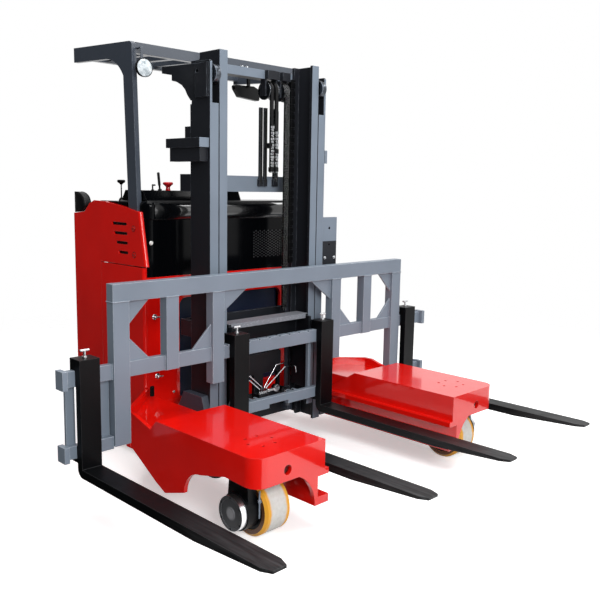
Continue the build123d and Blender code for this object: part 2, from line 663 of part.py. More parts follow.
# Chassis: front wall, machinery plate, step down to the operator's floor, sills and rear bumper
plate_high = 316.0
sill_x = (578.0, body_half - panel_thick)
sill_end = body_rear - 20
drive_at = (-250.0, body_front + 265)
caster_at = (330.0, body_rear - 230)
reach_z = 190.0
reach_tube_r = 30.0
reach_tube_y = (body_front - 45, body_rear - 160)
with BuildPart() as chassis:
    profile(Plane.YZ.offset(-sill_x[1]),
            [(body_front, body_floor), (body_front + 20, body_floor), (body_front + 20, 300), (cabin_y - 16, 300),
             (cabin_y - 16, 240), (sill_end, 240), (sill_end, cabin_floor), (cabin_y, cabin_floor),
             (cabin_y, plate_high), (body_front, plate_high)], 2 * sill_x[1])
    for s in (-1, 1):
        block((s * sill_x[0], s * sill_x[1]), (body_front + 20, sill_end), (body_floor, 300))
    block((-sill_x[1], sill_x[1]), (sill_end - 16, sill_end), (body_floor, 240))
    block((-sill_x[1], sill_x[1]), (sill_end - 150, sill_end), (240, cabin_floor))
    disc("Y", (0, body_front + 10, reach_z), reach_tube_r + 2, 24, Mode.SUBTRACT)
    for y in (body_front + 135, cabin_y - 60):
        block((-18, 18), (y - 12, y + 12), (reach_z + reach_tube_r + gap, 300))
    disc("Z", (*drive_at, 300), 60 + gap, 40, Mode.SUBTRACT)
save(chassis, "chassis_frame")

with BuildPart() as reach_tube:
    middle = sum(reach_tube_y) / 2
    length = reach_tube_y[1] - reach_tube_y[0]
    disc("Y", (0, middle, reach_z), reach_tube_r, length)
    disc("Y", (0, middle, reach_z), reach_tube_r - 6, length - 24, Mode.SUBTRACT)
    disc("Y", (0, reach_tube_y[0], reach_z), 15 + gap, 60, Mode.SUBTRACT)
save(reach_tube, "reach_cylinder")

with BuildPart() as reach_rod:
    rod_end = reach_tube_y[1] - 30
    disc("Y", (0, (cross_y + 22 + rod_end) / 2, reach_z), 15, rod_end - cross_y - 22)
save(reach_rod, "reach_rod")

# Rear drive wheel with its steered yoke, and the twin caster on the other side
with BuildPart() as drive_yoke:
    x, y = drive_at
    disc("Z", (x, y, 300 - gap - 10), 105, 20)
    disc("Z", (x, y, 330), 60, 80)
    disc("Z", (x, y, 440), 85, 180)
    for e in (-1, 1):
        profile(Plane.YZ.offset(x + e * 48),
                [(y - 30, 100), (y + 30, 100), (y + 55, 290), (y - 55, 290)], e * 18)
    disc("X", (x, y, 125), 18, 100)
save(drive_yoke, "drive_yoke")

with BuildPart() as drive_wheel:
    with BuildSketch(Plane.XZ):
        with BuildLine():
            x = drive_at[0]
            Polyline((x - 40, 115), (x - 32, 125), (x + 32, 125), (x + 40, 115), (x + 40, 18 + gap),
                     (x - 40, 18 + gap), close=True)
        make_face()
    revolve(axis=Axis.X)
save_wheel(drive_wheel, "drive_wheel", (0, drive_at[1], 125))

with BuildPart() as caster_fork:
    x, y = caster_at
    disc("Z", (x, y, 240 - gap - 10), 80, 20)
    block((x - 14, x + 14), (y - 30, y + 60), (150 + 8, 222))
    profile(Plane.YZ.offset(x - 14), [(y - 10, 160), (y + 60, 160), (y + 62, 62), (y + 22, 62)], 28)
    disc("X", (x, y + 40, 75), 12, 120)
save(caster_fork, "caster_fork")

with BuildPart() as caster_wheels:
    for e in (-1, 1):
        with BuildSketch(Plane.XZ):
            with BuildLine():
                x0 = caster_at[0] + e * 20
                x1 = caster_at[0] + e * 58
                Polyline((x0, 12 + gap), (x0, 70), (x0 + e * 6, 75), (x1 - e * 6, 75), (x1, 70),
                         (x1, 12 + gap), close=True)
            make_face()
        revolve(axis=Axis.X)
save_wheel(caster_wheels, "caster_wheels", (0, caster_at[1] + 40, 75))

# Battery, a plain block behind the opening of the front panel
with BuildPart() as battery:
    block((-battery_half, battery_half), (body_front + 30, battery_rear), (plate_high, battery_top))
save(battery, "battery")

# Red front panel round the battery opening
with BuildPart() as front_panel:
    block((-sill_x[1], sill_x[1]), (body_front, body_front + 20), (plate_high, cover_bottom - 7))
    block((-battery_half - 8, battery_half + 8), (body_front - 1, body_front + 21),
          (plate_high - 1, battery_top + 4), Mode.SUBTRACT)
save(front_panel, "front_panel")

# Black moulded cover over the machinery, with rounded upright corners and a raised upper band
cover_rear = cabin_y - 120


def cover_plan(bottom, front):
    """Plan of the cover with a straight or bulging front, as a sketch at a height."""
    side, r = sill_x[1], 45
    with BuildSketch(Plane.XY.offset(bottom)) as plan:
        with BuildLine():
            Polyline((-side, cover_rear), (-side, front + r))
            ThreePointArc((-side, front + r), (-side + 13, front + 13), (-side + r, front))
            Polyline((-side + r, front), (side - r, front))
            ThreePointArc((side - r, front), (side - 13, front + 13), (side, front + r))
            Polyline((side, front + r), (side, cover_rear), (-side, cover_rear))
        make_face()
    return plan.sketch


with BuildPart() as band:
    extrude(cover_plan(cover_top - 105, body_front - 10), amount=105)
    fillet(edges().group_by(Axis.Z)[-1].filter_by(Axis.X).sort_by(Axis.Y)[0], 32)
    fillet(edges().group_by(Axis.Z)[0].filter_by(Axis.X).sort_by(Axis.Y)[0], 8)

with BuildPart() as cover:
    extrude(cover_plan(cover_bottom - 7, body_front), amount=cover_top - cover_bottom - 50)
    add(band.part)
    block((-sill_x[1] + 12, sill_x[1] - 12), (body_front + 55, cover_rear + 1), (cover_bottom - 8, cover_top - 12),
          Mode.SUBTRACT)
    for s in (-1, 1):
        block((s * (post_x[0] - gap), s * (sill_x[1] + 1)), (post_y[0] - clear, post_y[1] + 40),
              (cover_top - 64, cover_top + 1), Mode.SUBTRACT)
save(cover, "front_cover")

# Raised instrument hood and the console shelf behind it, over the partition
with BuildPart() as console:
    profile(Plane.YZ.offset(-post_x[0] + clear),
            [(body_front + 30, cover_top), (body_front + 55, dash_top), (cover_rear - 40, dash_top),
             (cover_rear - 2, cover_top)], dash_right + post_x[0] - clear)
    profile(Plane.YZ.offset(-sill_x[1]),
            [(cover_rear, cover_top - 26), (cabin_y - 16, cover_top - 26), (cabin_y - 16, plate_high),
             (cabin_y, plate_high), (cabin_y, 1300), (cabin_y + 70, 1390), (cabin_y + 70, cover_top - 10),
             (cover_rear, cover_top - 10)],
            2 * sill_x[1])
save(console, "console")

# Controls on the console
with BuildPart() as stop_knob:
    disc("Z", (-364, body_front + 135, dash_top + 14), 13, 28)
    disc("Z", (-364, body_front + 135, dash_top + 38), 29, 22)
save(stop_knob, "stop_knob")

with BuildPart() as levers:
    disc("Z", (-480, body_front + 115, dash_top + 14), 4, 28)
    block((-484, -462), (body_front + 111, body_front + 119), (dash_top + 24, dash_top + 33))
    disc("Z", (-405, body_front + 155, dash_top + 50), 7, 100)
    disc("Z", (-560, cabin_y - 90, cover_top + 40), 4, 100)
    disc("Z", (-560, cabin_y - 90, cover_top + 97), 22, 22)
save(levers, "control_levers")

# Side panels: the upper one carries the outline and runs to the rear, the lower one is a flap
top_outline = [(body_rear, 1345), (body_rear - 126, 1357), (body_rear - 182, 1405), (body_rear - 236, 1425),
               (body_rear - 360, 1421), (body_front + 145, panel_top(body_front + 145)),
               (body_front + 31, panel_top(body_front + 31))]
flap_rear = body_rear - 297
seam = 1078.0
slot_height = 16.0
# Height, front end and rear end of each air slot
slots = ((1303, 158, 310), (1251, 153, 292), (1199, 150, 270), (1146, 148, 245))


def round_front(panel, radius):
    """Round the outer upright edge at the front of a side panel."""
    for s in (-1, 1):
        edge = [e for e in panel.edges() if abs(e.center().X - s * body_half) < 0.1
                and e.center().Y < body_front + 20 and e.length > 100]
        fillet(edge, radius)


with BuildPart() as upper:
    for s in (-1, 1):
        profile(Plane.YZ.offset(s * sill_x[1]),
                [(body_rear, body_floor), (flap_rear, body_floor), (flap_rear, seam), (body_front - 24, seam + 3),
                 *reversed(top_outline)], s * panel_thick)
        for z, start, end in slots:
            with BuildSketch(Plane.YZ.offset(s * (body_half - 10))) as slot:
                with Locations((body_front + (start + end) / 2, z)):
                    SlotOverall(end - start, slot_height)
            extrude(slot.sketch, amount=s * 11, mode=Mode.SUBTRACT)
    round_front(upper, 14)
save(upper, "side_panels")

with BuildPart() as lower:
    for s in (-1, 1):
        block((s * sill_x[1], s * body_half), (body_front, flap_rear - 3), (root_high + 4, seam - 3))
    round_front(lower, 14)
    for s in (-1, 1):
        block((s * sill_x[1], s * body_half), (body_front, flap_rear - 3), (body_floor, root_low - 4))
        block((s * sill_x[1], s * body_half), (body_front + 4, flap_rear - 3), (root_low - 4, root_high + 4))
save(lower, "side_flaps")

# Hip pad at the rear corner of the operator's place
with BuildPart() as pad:
    profile(Plane.YZ.offset(-body_half + 4),
            [(body_rear, 1345), (body_rear - 126, 1357), (body_rear - 154, 1385), (body_rear - 146, 1424),
             (body_rear - 108, 1452), (body_rear - 46, 1470), (body_rear, 1471)], 48)
save(pad, "hip_pad")

# Overhead guard: side plates that are post, curved gusset and roof edge in one, beams and slats
with BuildPart() as guard:
    for s in (-1, 1):
        with BuildSketch(Plane.YZ.offset(s * post_x[1])) as side:
            with BuildLine():
                Polyline((guard_front + 278, roof(guard_front + 278, guard_side)),
                         (guard_rear, roof(guard_rear, guard_side)), (guard_rear, roof(guard_rear)),
                         (guard_front + 21, roof(guard_front + 21)), (guard_front, roof(guard_front, 12)),
                         (guard_front, roof(guard_front, 66)), (post_y[0], panel_top(post_y[0])),
                         (post_y[1], panel_top(post_y[1])), (post_top_y, roof(guard_front, 170)))
                ThreePointArc((post_top_y, roof(guard_front, 170)),
                              (guard_front + 163, roof(guard_front + 163, guard_side + 24)),
                              (guard_front + 278, roof(guard_front + 278, guard_side)))
            make_face()
        extrude(side.sketch, amount=s * (post_x[0] - post_x[1]))
    inner = post_x[0]
    for y0, y1, deep in ((guard_front, guard_front + 50, guard_beam), (guard_rear - 50, guard_rear, guard_beam)):
        profile(Plane.YZ.offset(-inner),
                [(y0, roof(y0, deep)), (y1, roof(y1, deep)), (y1, roof(y1, 4)), (y0, roof(y0, 4))], 2 * inner)
    for i in range(6):
        x = -inner + (i + 1) * 2 * inner / 7
        y0, y1 = guard_front + 50, guard_rear - 50
        profile(Plane.YZ.offset(x - 20),
                [(y0, roof(y0, 44)), (y1, roof(y1, 44)), (y1, roof(y1, 12)), (y0, roof(y0, 12))], 40)
save(guard, "overhead_guard")

with BuildPart() as lamp:
    lamp_z = roof(guard_front, 140)
    disc("Y", (-578, body_front + 40, lamp_z), 48, 28)
    block((-588, -568), (body_front + 54, body_front + 65), (lamp_z - 20, roof(guard_front, 32)))
    block((-588, -568), (body_front + 65, guard_front), (roof(guard_front, 50), roof(guard_front, 32)))
save(lamp, "work_lamp")

with BuildPart() as mirror:
    with BuildSketch(Plane.XZ.offset(-guard_front - 58)) as face:
        with BuildLine():
            Polyline((110, 2116), (264, 2120), (315, 2101), (309, 2036), (151, 2048), (117, 2091), close=True)
        make_face()
        fillet(vertices(), 12)
    extrude(face.sketch, amount=30)
    block((205, 221), (guard_front + 12, guard_front + 28), (2110, roof(guard_front, guard_beam)))
save(mirror, "mirror")
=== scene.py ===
"""Looks of the multidirectional forklift: paint, fittings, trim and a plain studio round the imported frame.

Metres, +Z up, forks towards -Y, origin on the floor under the middle of the machine.
"""
import math

import bmesh
import bpy
from mathutils import Matrix, Vector


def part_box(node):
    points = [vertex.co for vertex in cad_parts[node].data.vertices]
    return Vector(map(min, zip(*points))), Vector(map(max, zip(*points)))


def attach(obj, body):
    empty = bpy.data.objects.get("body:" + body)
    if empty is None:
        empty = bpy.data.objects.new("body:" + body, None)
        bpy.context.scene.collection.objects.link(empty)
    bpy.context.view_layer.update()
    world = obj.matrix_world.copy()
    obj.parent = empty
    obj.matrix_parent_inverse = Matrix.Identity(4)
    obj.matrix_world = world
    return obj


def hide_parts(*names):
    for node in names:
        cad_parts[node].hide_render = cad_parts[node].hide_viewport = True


bl_info = {
    "name": "Multidirectional forklift finish",
    "version": (1, 0, 0),
    "blender": (4, 5, 0),
    "location": "View3D > Sidebar > Forklift",
    "description": "Paint, fittings, trim and studio for the multidirectional forklift",
    "category": "Object",
}

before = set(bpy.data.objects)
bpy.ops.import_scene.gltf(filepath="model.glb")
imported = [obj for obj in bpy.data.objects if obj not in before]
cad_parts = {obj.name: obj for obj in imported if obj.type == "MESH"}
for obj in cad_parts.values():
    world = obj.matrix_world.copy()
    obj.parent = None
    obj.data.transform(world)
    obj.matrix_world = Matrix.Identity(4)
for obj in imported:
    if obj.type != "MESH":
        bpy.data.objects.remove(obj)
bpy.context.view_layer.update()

# Faces of the frame that the fittings sit on
FRONT_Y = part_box("front_panel")[0].y
COVER_LOW, COVER_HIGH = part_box("front_cover")
SIDE_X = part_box("side_panels")[1].x
RAIL_LOW, RAIL_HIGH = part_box("frame_top_rail")
BARS_LOW, BARS_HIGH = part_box("fork_bars")
MAST_FRONT, MAST_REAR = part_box("inner_mast_rails")[0].y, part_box("inner_mast_rails")[1].y
HEAD_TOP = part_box("inner_mast_cross_members")[1].z
WHEEL_LOW, WHEEL_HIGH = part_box("load_tyre_right")
WHEEL_X = (WHEEL_LOW.x + WHEEL_HIGH.x) / 2
WHEEL_Y = (WHEEL_LOW.y + WHEEL_HIGH.y) / 2
WHEEL_Z = (WHEEL_LOW.z + WHEEL_HIGH.z) / 2
HUB_X = WHEEL_X - 0.057
LEG_LOW, LEG_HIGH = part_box("load_leg_right")
MOTOR_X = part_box("load_motor_right")[1].x
SHELF_LOW, SHELF_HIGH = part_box("lift_carriage")
PAD_LOW, PAD_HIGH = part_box("hip_pad")
KNOB_LOW, KNOB_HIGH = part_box("stop_knob")
LAMP_LOW, LAMP_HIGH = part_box("work_lamp")
MIRROR_LOW, MIRROR_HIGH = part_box("mirror")
BATTERY_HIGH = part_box("battery")[1]
DASH_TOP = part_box("console")[1].z
PARTITION_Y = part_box("console")[1].y - 0.070
FLOOR_Z = 0.262
FORK_TOP = 0.745
# Chain pulleys, hoses, ear rollers and pipes of the frame, whose places no box gives
PULLEY_X, PULLEY_Y, PULLEY_Z = 0.240, MAST_REAR + 0.014, 2.060
CHAIN_R = 0.0463
FRONT_RUN, REAR_RUN = PULLEY_Y - CHAIN_R, PULLEY_Y + CHAIN_R
HOSES_X = (0.122, 0.158)
EAR_ROLLER = (MAST_FRONT + 0.023, 2.083)
PIPE_Y = MAST_FRONT + 0.041
# Directions, and the two sides by name
UP, FORWARD, BACK, RIGHT = (0, 0, 1), (0, -1, 0), (0, 1, 0), (1, 0, 0)
SIDES = (("left", -1), ("right", 1))
# Material and slot of what comes back often
ABS, BLACK = ("grained_abs", "black_plastic"), ("satin_black_paint", "black_steel")
ZINC, CHROME = ("bright_zinc_plate", "bare_steel"), ("hard_chrome", "bare_steel")
ENAMEL, VINYL = ("gloss_enamel_on_steel", "red_paint"), ("grained_vinyl", "black_vinyl")
LAMP = ("lamp_reflector", "lamp_glass")
# Height above which a band has no end
NO_LIMIT = 9
# Inner and outer edge of each post of the fork frame, and the lower edge of the upper fork bar
POST_EDGES = ((0.981, 1.066), (0.700, 0.772), (0.413, 0.487))
BAR_FOOT = 0.619
# Bands along Y in which the cross members' front faces take the frame's lighter grey: partly a two-tone
# finish, partly painted light from the front
LIT_FRONT_BANDS = ((0, MAST_FRONT + 0.013), (MAST_REAR - 0.003, MAST_REAR + 0.005), (0.395, 0.42))
# Widths of the lighter edges of paint, mouldings and bare metal, partly rubbed wear and partly a painted
# highlight
PAINT_EDGE, PLASTIC_EDGE, METAL_EDGE = 0.004, 0.002, 0.0015
# Height, front end and rear end of each air slot
SLOTS = ((1.303, 0.643, 0.795), (1.251, 0.638, 0.777), (1.199, 0.635, 0.755), (1.146, 0.633, 0.730))
# Material of each node of the frame
LOOKS = {
    "gloss_enamel_on_steel": ("chassis_frame", "front_panel", "load_leg_left", "load_leg_right",
                              "side_flaps", "side_panels"),
    "satin_powder_coat": ("fork_bars", "frame_posts", "frame_ties", "frame_top_rail"),
    "crossbeam_powder_coat": ("outer_mast_cross_members", "inner_mast_cross_members"),
    "mast_powder_coat": ("outer_mast_rails", "inner_mast_rails"),
    "dark_powder_coat": ("lift_cylinders", "overhead_guard", "reach_carriage", "reach_cylinder"),
    "carriage_powder_coat": ("lift_carriage",),
    "satin_black_paint": ("caster_fork", "drive_yoke", "load_hub_left", "load_hub_right",
                          "load_swivel_left", "load_swivel_right", "swivel_motors", "tilt_cylinders"),
    "fork_steel": ("fork_outer_left", "fork_inner_left", "fork_inner_right", "fork_outer_right"),
    "battery_box_paint": ("battery",),
    "polished_abs_moulding": ("console", "front_cover"),
    "grained_abs": ("control_levers", "lift_chains_and_hose_carrier"),
    "black_rubber": ("caster_wheels", "drive_wheel"),
    "red_abs": ("stop_knob",), "moulded_mirror_shell": ("mirror",),
    "hard_chrome": ("lift_rods", "reach_rod", "tilt_rods", "hydraulic_pipes"),
    "ground_roller_steel": ("carriage_rollers", "mast_rollers"),
    "turned_motor_cap": ("load_motor_left", "load_motor_right"),
    "cast_polyurethane": ("load_tyre_left", "load_tyre_right"),
    "grained_vinyl": ("hip_pad",), "lamp_reflector": ("work_lamp",)}


def linear(code):
    """An sRGB hex colour as linear RGBA."""
    parts = [int(code[i:i + 2], 16) / 255 for i in (0, 2, 4)]
    return (*[c / 12.92 if c <= 0.04045 else ((c + 0.055) / 1.055) ** 2.4 for c in parts], 1.0)


def colour(label, note, code):
    """A colour property that the sidebar can change."""
    return bpy.props.FloatVectorProperty(name=label, description=note, subtype="COLOR", size=4,
                                         min=0, max=1, default=linear(code))


def length(label, note, metres):
    """A length property in metres."""
    return bpy.props.FloatProperty(name=label, description=note, unit="LENGTH", min=0, default=metres)


class ForkliftColours(bpy.types.PropertyGroup):
    enamel: colour("Body enamel", "Gloss enamel of legs, body and side panels", "DE120A")
    # The frame grey also lies on the front faces of the mast and cross members: partly a two-tone finish,
    # partly painted light from the front
    powder: colour("Frame paint", "Satin powder coat of the fork frame and mast fronts", "77828F")
    charcoal: colour("Guard paint", "Dark powder coat of the overhead guard and cylinders", "3D444F")
    mast: colour("Mast paint", "Black powder coat of the mast's sides", "202227")
    # The carriage's near-black is partly its paint and partly painted shade for where it stands behind the
    # frame
    carriage: colour("Carriage paint", "Near-black powder coat of the lift carriage", "101216")
    black: colour("Fork paint", "Satin black of the forks and running gear", "060709")
    cover: colour("Cover", "Polished black moulded cover", "040507")
    battery: colour("Battery box", "Dark blue battery box", "101C33")
    tyre: colour("Tyre", "Polyurethane of the load tyres", "E0A028")
    tread: colour("Worn tread", "Scuffed middle of the load tyres", "D2D0CC")


class ForkliftSizes(bpy.types.PropertyGroup):
    chain_pitch: length("Chain pitch", "Distance between the pins of the lift chains", 0.0191)
    weld_pitch: length("Weld ripple", "Distance between the ripples of a weld bead", 0.007)
    weld_size: length("Weld size", "Radius of a weld bead", 0.0045)
    vent_pitch: length("Vent pitch", "Distance between the holes of the cover's vents", 0.0165)
    mat_pitch: length("Mat rib pitch", "Distance between the ribs of the floor mat", 0.024)


def add(tree, kind, inputs=None, **settings):
    """A node with its settings; an input is a value or another node's socket."""
    node = tree.nodes.new(kind)
    for name, value in settings.items():
        setattr(node, name, value)
    for key, value in (inputs or {}).items():
        if isinstance(value, bpy.types.NodeSocket):
            tree.links.new(value, node.inputs[key])
        else:
            node.inputs[key].default_value = value
    return node


def calc(tree, operation, first, second=0.5):
    """The result of one arithmetic step."""
    return add(tree, "ShaderNodeMath", {0: first, 1: second}, operation=operation).outputs[0]


def part_of(tree, vector, axis):
    """One coordinate of a vector."""
    return add(tree, "ShaderNodeSeparateXYZ", {0: vector}).outputs[axis]


def ramp(tree, value, start, end, low=0.0, high=1.0, **settings):
    """A value carried over from one range to another and clamped there."""
    return add(tree, "ShaderNodeMapRange", {"Value": value, "From Min": start, "From Max": end, "To Min": low,
                                            "To Max": high}, **settings).outputs["Result"]


def from_axle(tree, coords):
    """Offset from the axle of the load wheels, and its length."""
    aside = add(tree, "ShaderNodeVectorMath", {0: coords, 1: (0, -WHEEL_Y, -WHEEL_Z)}).outputs[0]
    flat = add(tree, "ShaderNodeVectorMath", {0: aside, 1: (0, 1, 1)}, operation="MULTIPLY").outputs[0]
    return flat, add(tree, "ShaderNodeVectorMath", {0: flat}, operation="LENGTH").outputs["Value"]


def raised(tree, height, distance, strength=0.5, **inputs):
    """A normal that follows a height."""
    return add(tree, "ShaderNodeBump", {"Height": height, "Distance": distance, "Strength": strength,
                                        **inputs}).outputs["Normal"]


def per(millimetres):
    """Texture scale that gives a pattern of this real size."""
    return 1000 / millimetres


def begin(name):
    """An empty node material and its Object coordinates."""
    material = bpy.data.materials.new(name)
    material.use_nodes = True
    tree = material.node_tree
    tree.nodes.clear()
    return tree, add(tree, "ShaderNodeTexCoord").outputs["Object"]


def shade(tree, inputs):
    """The shader and output of a material."""
    shader = add(tree, "ShaderNodeBsdfPrincipled", inputs)
    add(tree, "ShaderNodeOutputMaterial", {"Surface": shader.outputs["BSDF"]})


def blotch(tree, coords, size, low, high, detail=3.0):
    """A soft random value between two limits, with patches of a size in millimetres."""
    noise = add(tree, "ShaderNodeTexNoise", {"Vector": coords, "Scale": per(size), "Detail": detail})
    return ramp(tree, noise.outputs["Fac"], 0.3, 0.7, low, high)


def blend_colour(tree, factor, first, second):
    """One colour mixed into another."""
    mix = add(tree, "ShaderNodeMix", {0: factor, 6: first, 7: second}, data_type="RGBA")
    return mix.outputs[2]


def edge_mask(tree, radius):
    """1 along sharp edges of the piece and 0 on its faces."""
    bevel = add(tree, "ShaderNodeBevel", {"Radius": radius}, samples=4)
    plain = add(tree, "ShaderNodeNewGeometry").outputs["Normal"]
    dot = add(tree, "ShaderNodeVectorMath", {0: bevel.outputs[0], 1: plain}, operation="DOT_PRODUCT")
    return bevel.outputs[0], ramp(tree, dot.outputs["Value"], 0.99, 0.85)


def bumped(tree, coords, size, height, normal):
    """A fine grain of a size in millimetres raised on a normal."""
    noise = add(tree, "ShaderNodeTexNoise", {"Vector": coords, "Scale": per(size), "Detail": 2.0})
    return raised(tree, noise.outputs["Fac"], height, 0.6, Normal=normal)


def band(tree, coords, axis, low, high):
    """1 where an object coordinate lies between two values."""
    value = part_of(tree, coords, axis)
    above, below = calc(tree, "GREATER_THAN", value, low), calc(tree, "LESS_THAN", value, high)
    return calc(tree, "MULTIPLY", above, below)


def painted(name, base, rough, coat, grain, height, worn, lit_fronts=None, shine=0.5, rubbed=(0.0, 0.75)):
    """Sprayed or powder-coated steel: slight cloudiness, a fine grain and lighter edges that are partly
    rubbed wear and partly a painted highlight.

    The optional tuple for front faces holds a lowest height, bands along Y and a second, lighter colour for
    the faces that look to the front in them; that lighter front is partly a two-tone finish and partly
    painted light from the front.
    """
    tree, coords = begin(name)
    normal, edges = edge_mask(tree, PAINT_EDGE)
    # Faces that look to the front in the bands take the lighter colour: partly a two-tone finish, partly
    # painted light from the front
    if lit_fronts:
        floor, bands, second = lit_fronts
        aim = part_of(tree, add(tree, "ShaderNodeTexCoord").outputs["Normal"], "Y")
        front = calc(tree, "LESS_THAN", aim, -0.7)
        zone = 0.0
        for low, high in bands:
            zone = calc(tree, "MAXIMUM", zone, band(tree, coords, "Y", low, high))
        for limit in (zone, band(tree, coords, "Z", floor, NO_LIMIT)):
            front = calc(tree, "MULTIPLY", front, limit)
        base = blend_colour(tree, front, base, second)
    cloud = blotch(tree, coords, 260, 0.93, 1.06)
    toned = add(tree, "ShaderNodeHueSaturation", {"Value": cloud, "Color": base}).outputs[0]
    # Edges lightened towards the edge colour: partly rubbed wear, partly a painted highlight
    bare = calc(tree, "MULTIPLY", edges, blotch(tree, coords, 35, *rubbed))
    shade(tree, {
        "Base Color": blend_colour(tree, bare, toned, worn),
        "Roughness": blotch(tree, coords, 90, rough * 0.85, rough * 1.15),
        "Specular IOR Level": shine, "Coat Weight": coat, "Coat Roughness": 0.05,
        "Normal": bumped(tree, coords, grain, height, normal)})


def plastic(name, base, rough, grain, height, coat=0.0, shine=0.5):
    """Moulded plastic or rubber with a grain, and slightly lighter edges that are partly wear and partly a
    painted highlight.
    """
    tree, coords = begin(name)
    normal, edges = edge_mask(tree, PLASTIC_EDGE)
    shade(tree, {
        "Base Color": blend_colour(tree, calc(tree, "MULTIPLY", edges, 0.12), base, linear("9A9A9A")),
        "Roughness": blotch(tree, coords, 60, rough * 0.85, rough * 1.15),
        "Specular IOR Level": shine, "Coat Weight": coat, "Coat Roughness": 0.04,
        "Normal": bumped(tree, coords, grain, height, normal)})


def metal(name, base, rough, marks, height):
    """Bare metal with fine tool marks and bright edges that are partly worn metal and partly a painted
    highlight.
    """
    tree, coords = begin(name)
    normal, edges = edge_mask(tree, METAL_EDGE)
    normal = bumped(tree, coords, marks, height, normal)
    shade(tree, {"Base Color": blend_colour(tree, edges, base, linear("E4E6E8")), "Metallic": 1.0,
                 "Roughness": blotch(tree, coords, 25, rough * 0.7, rough * 1.3), "Normal": normal})


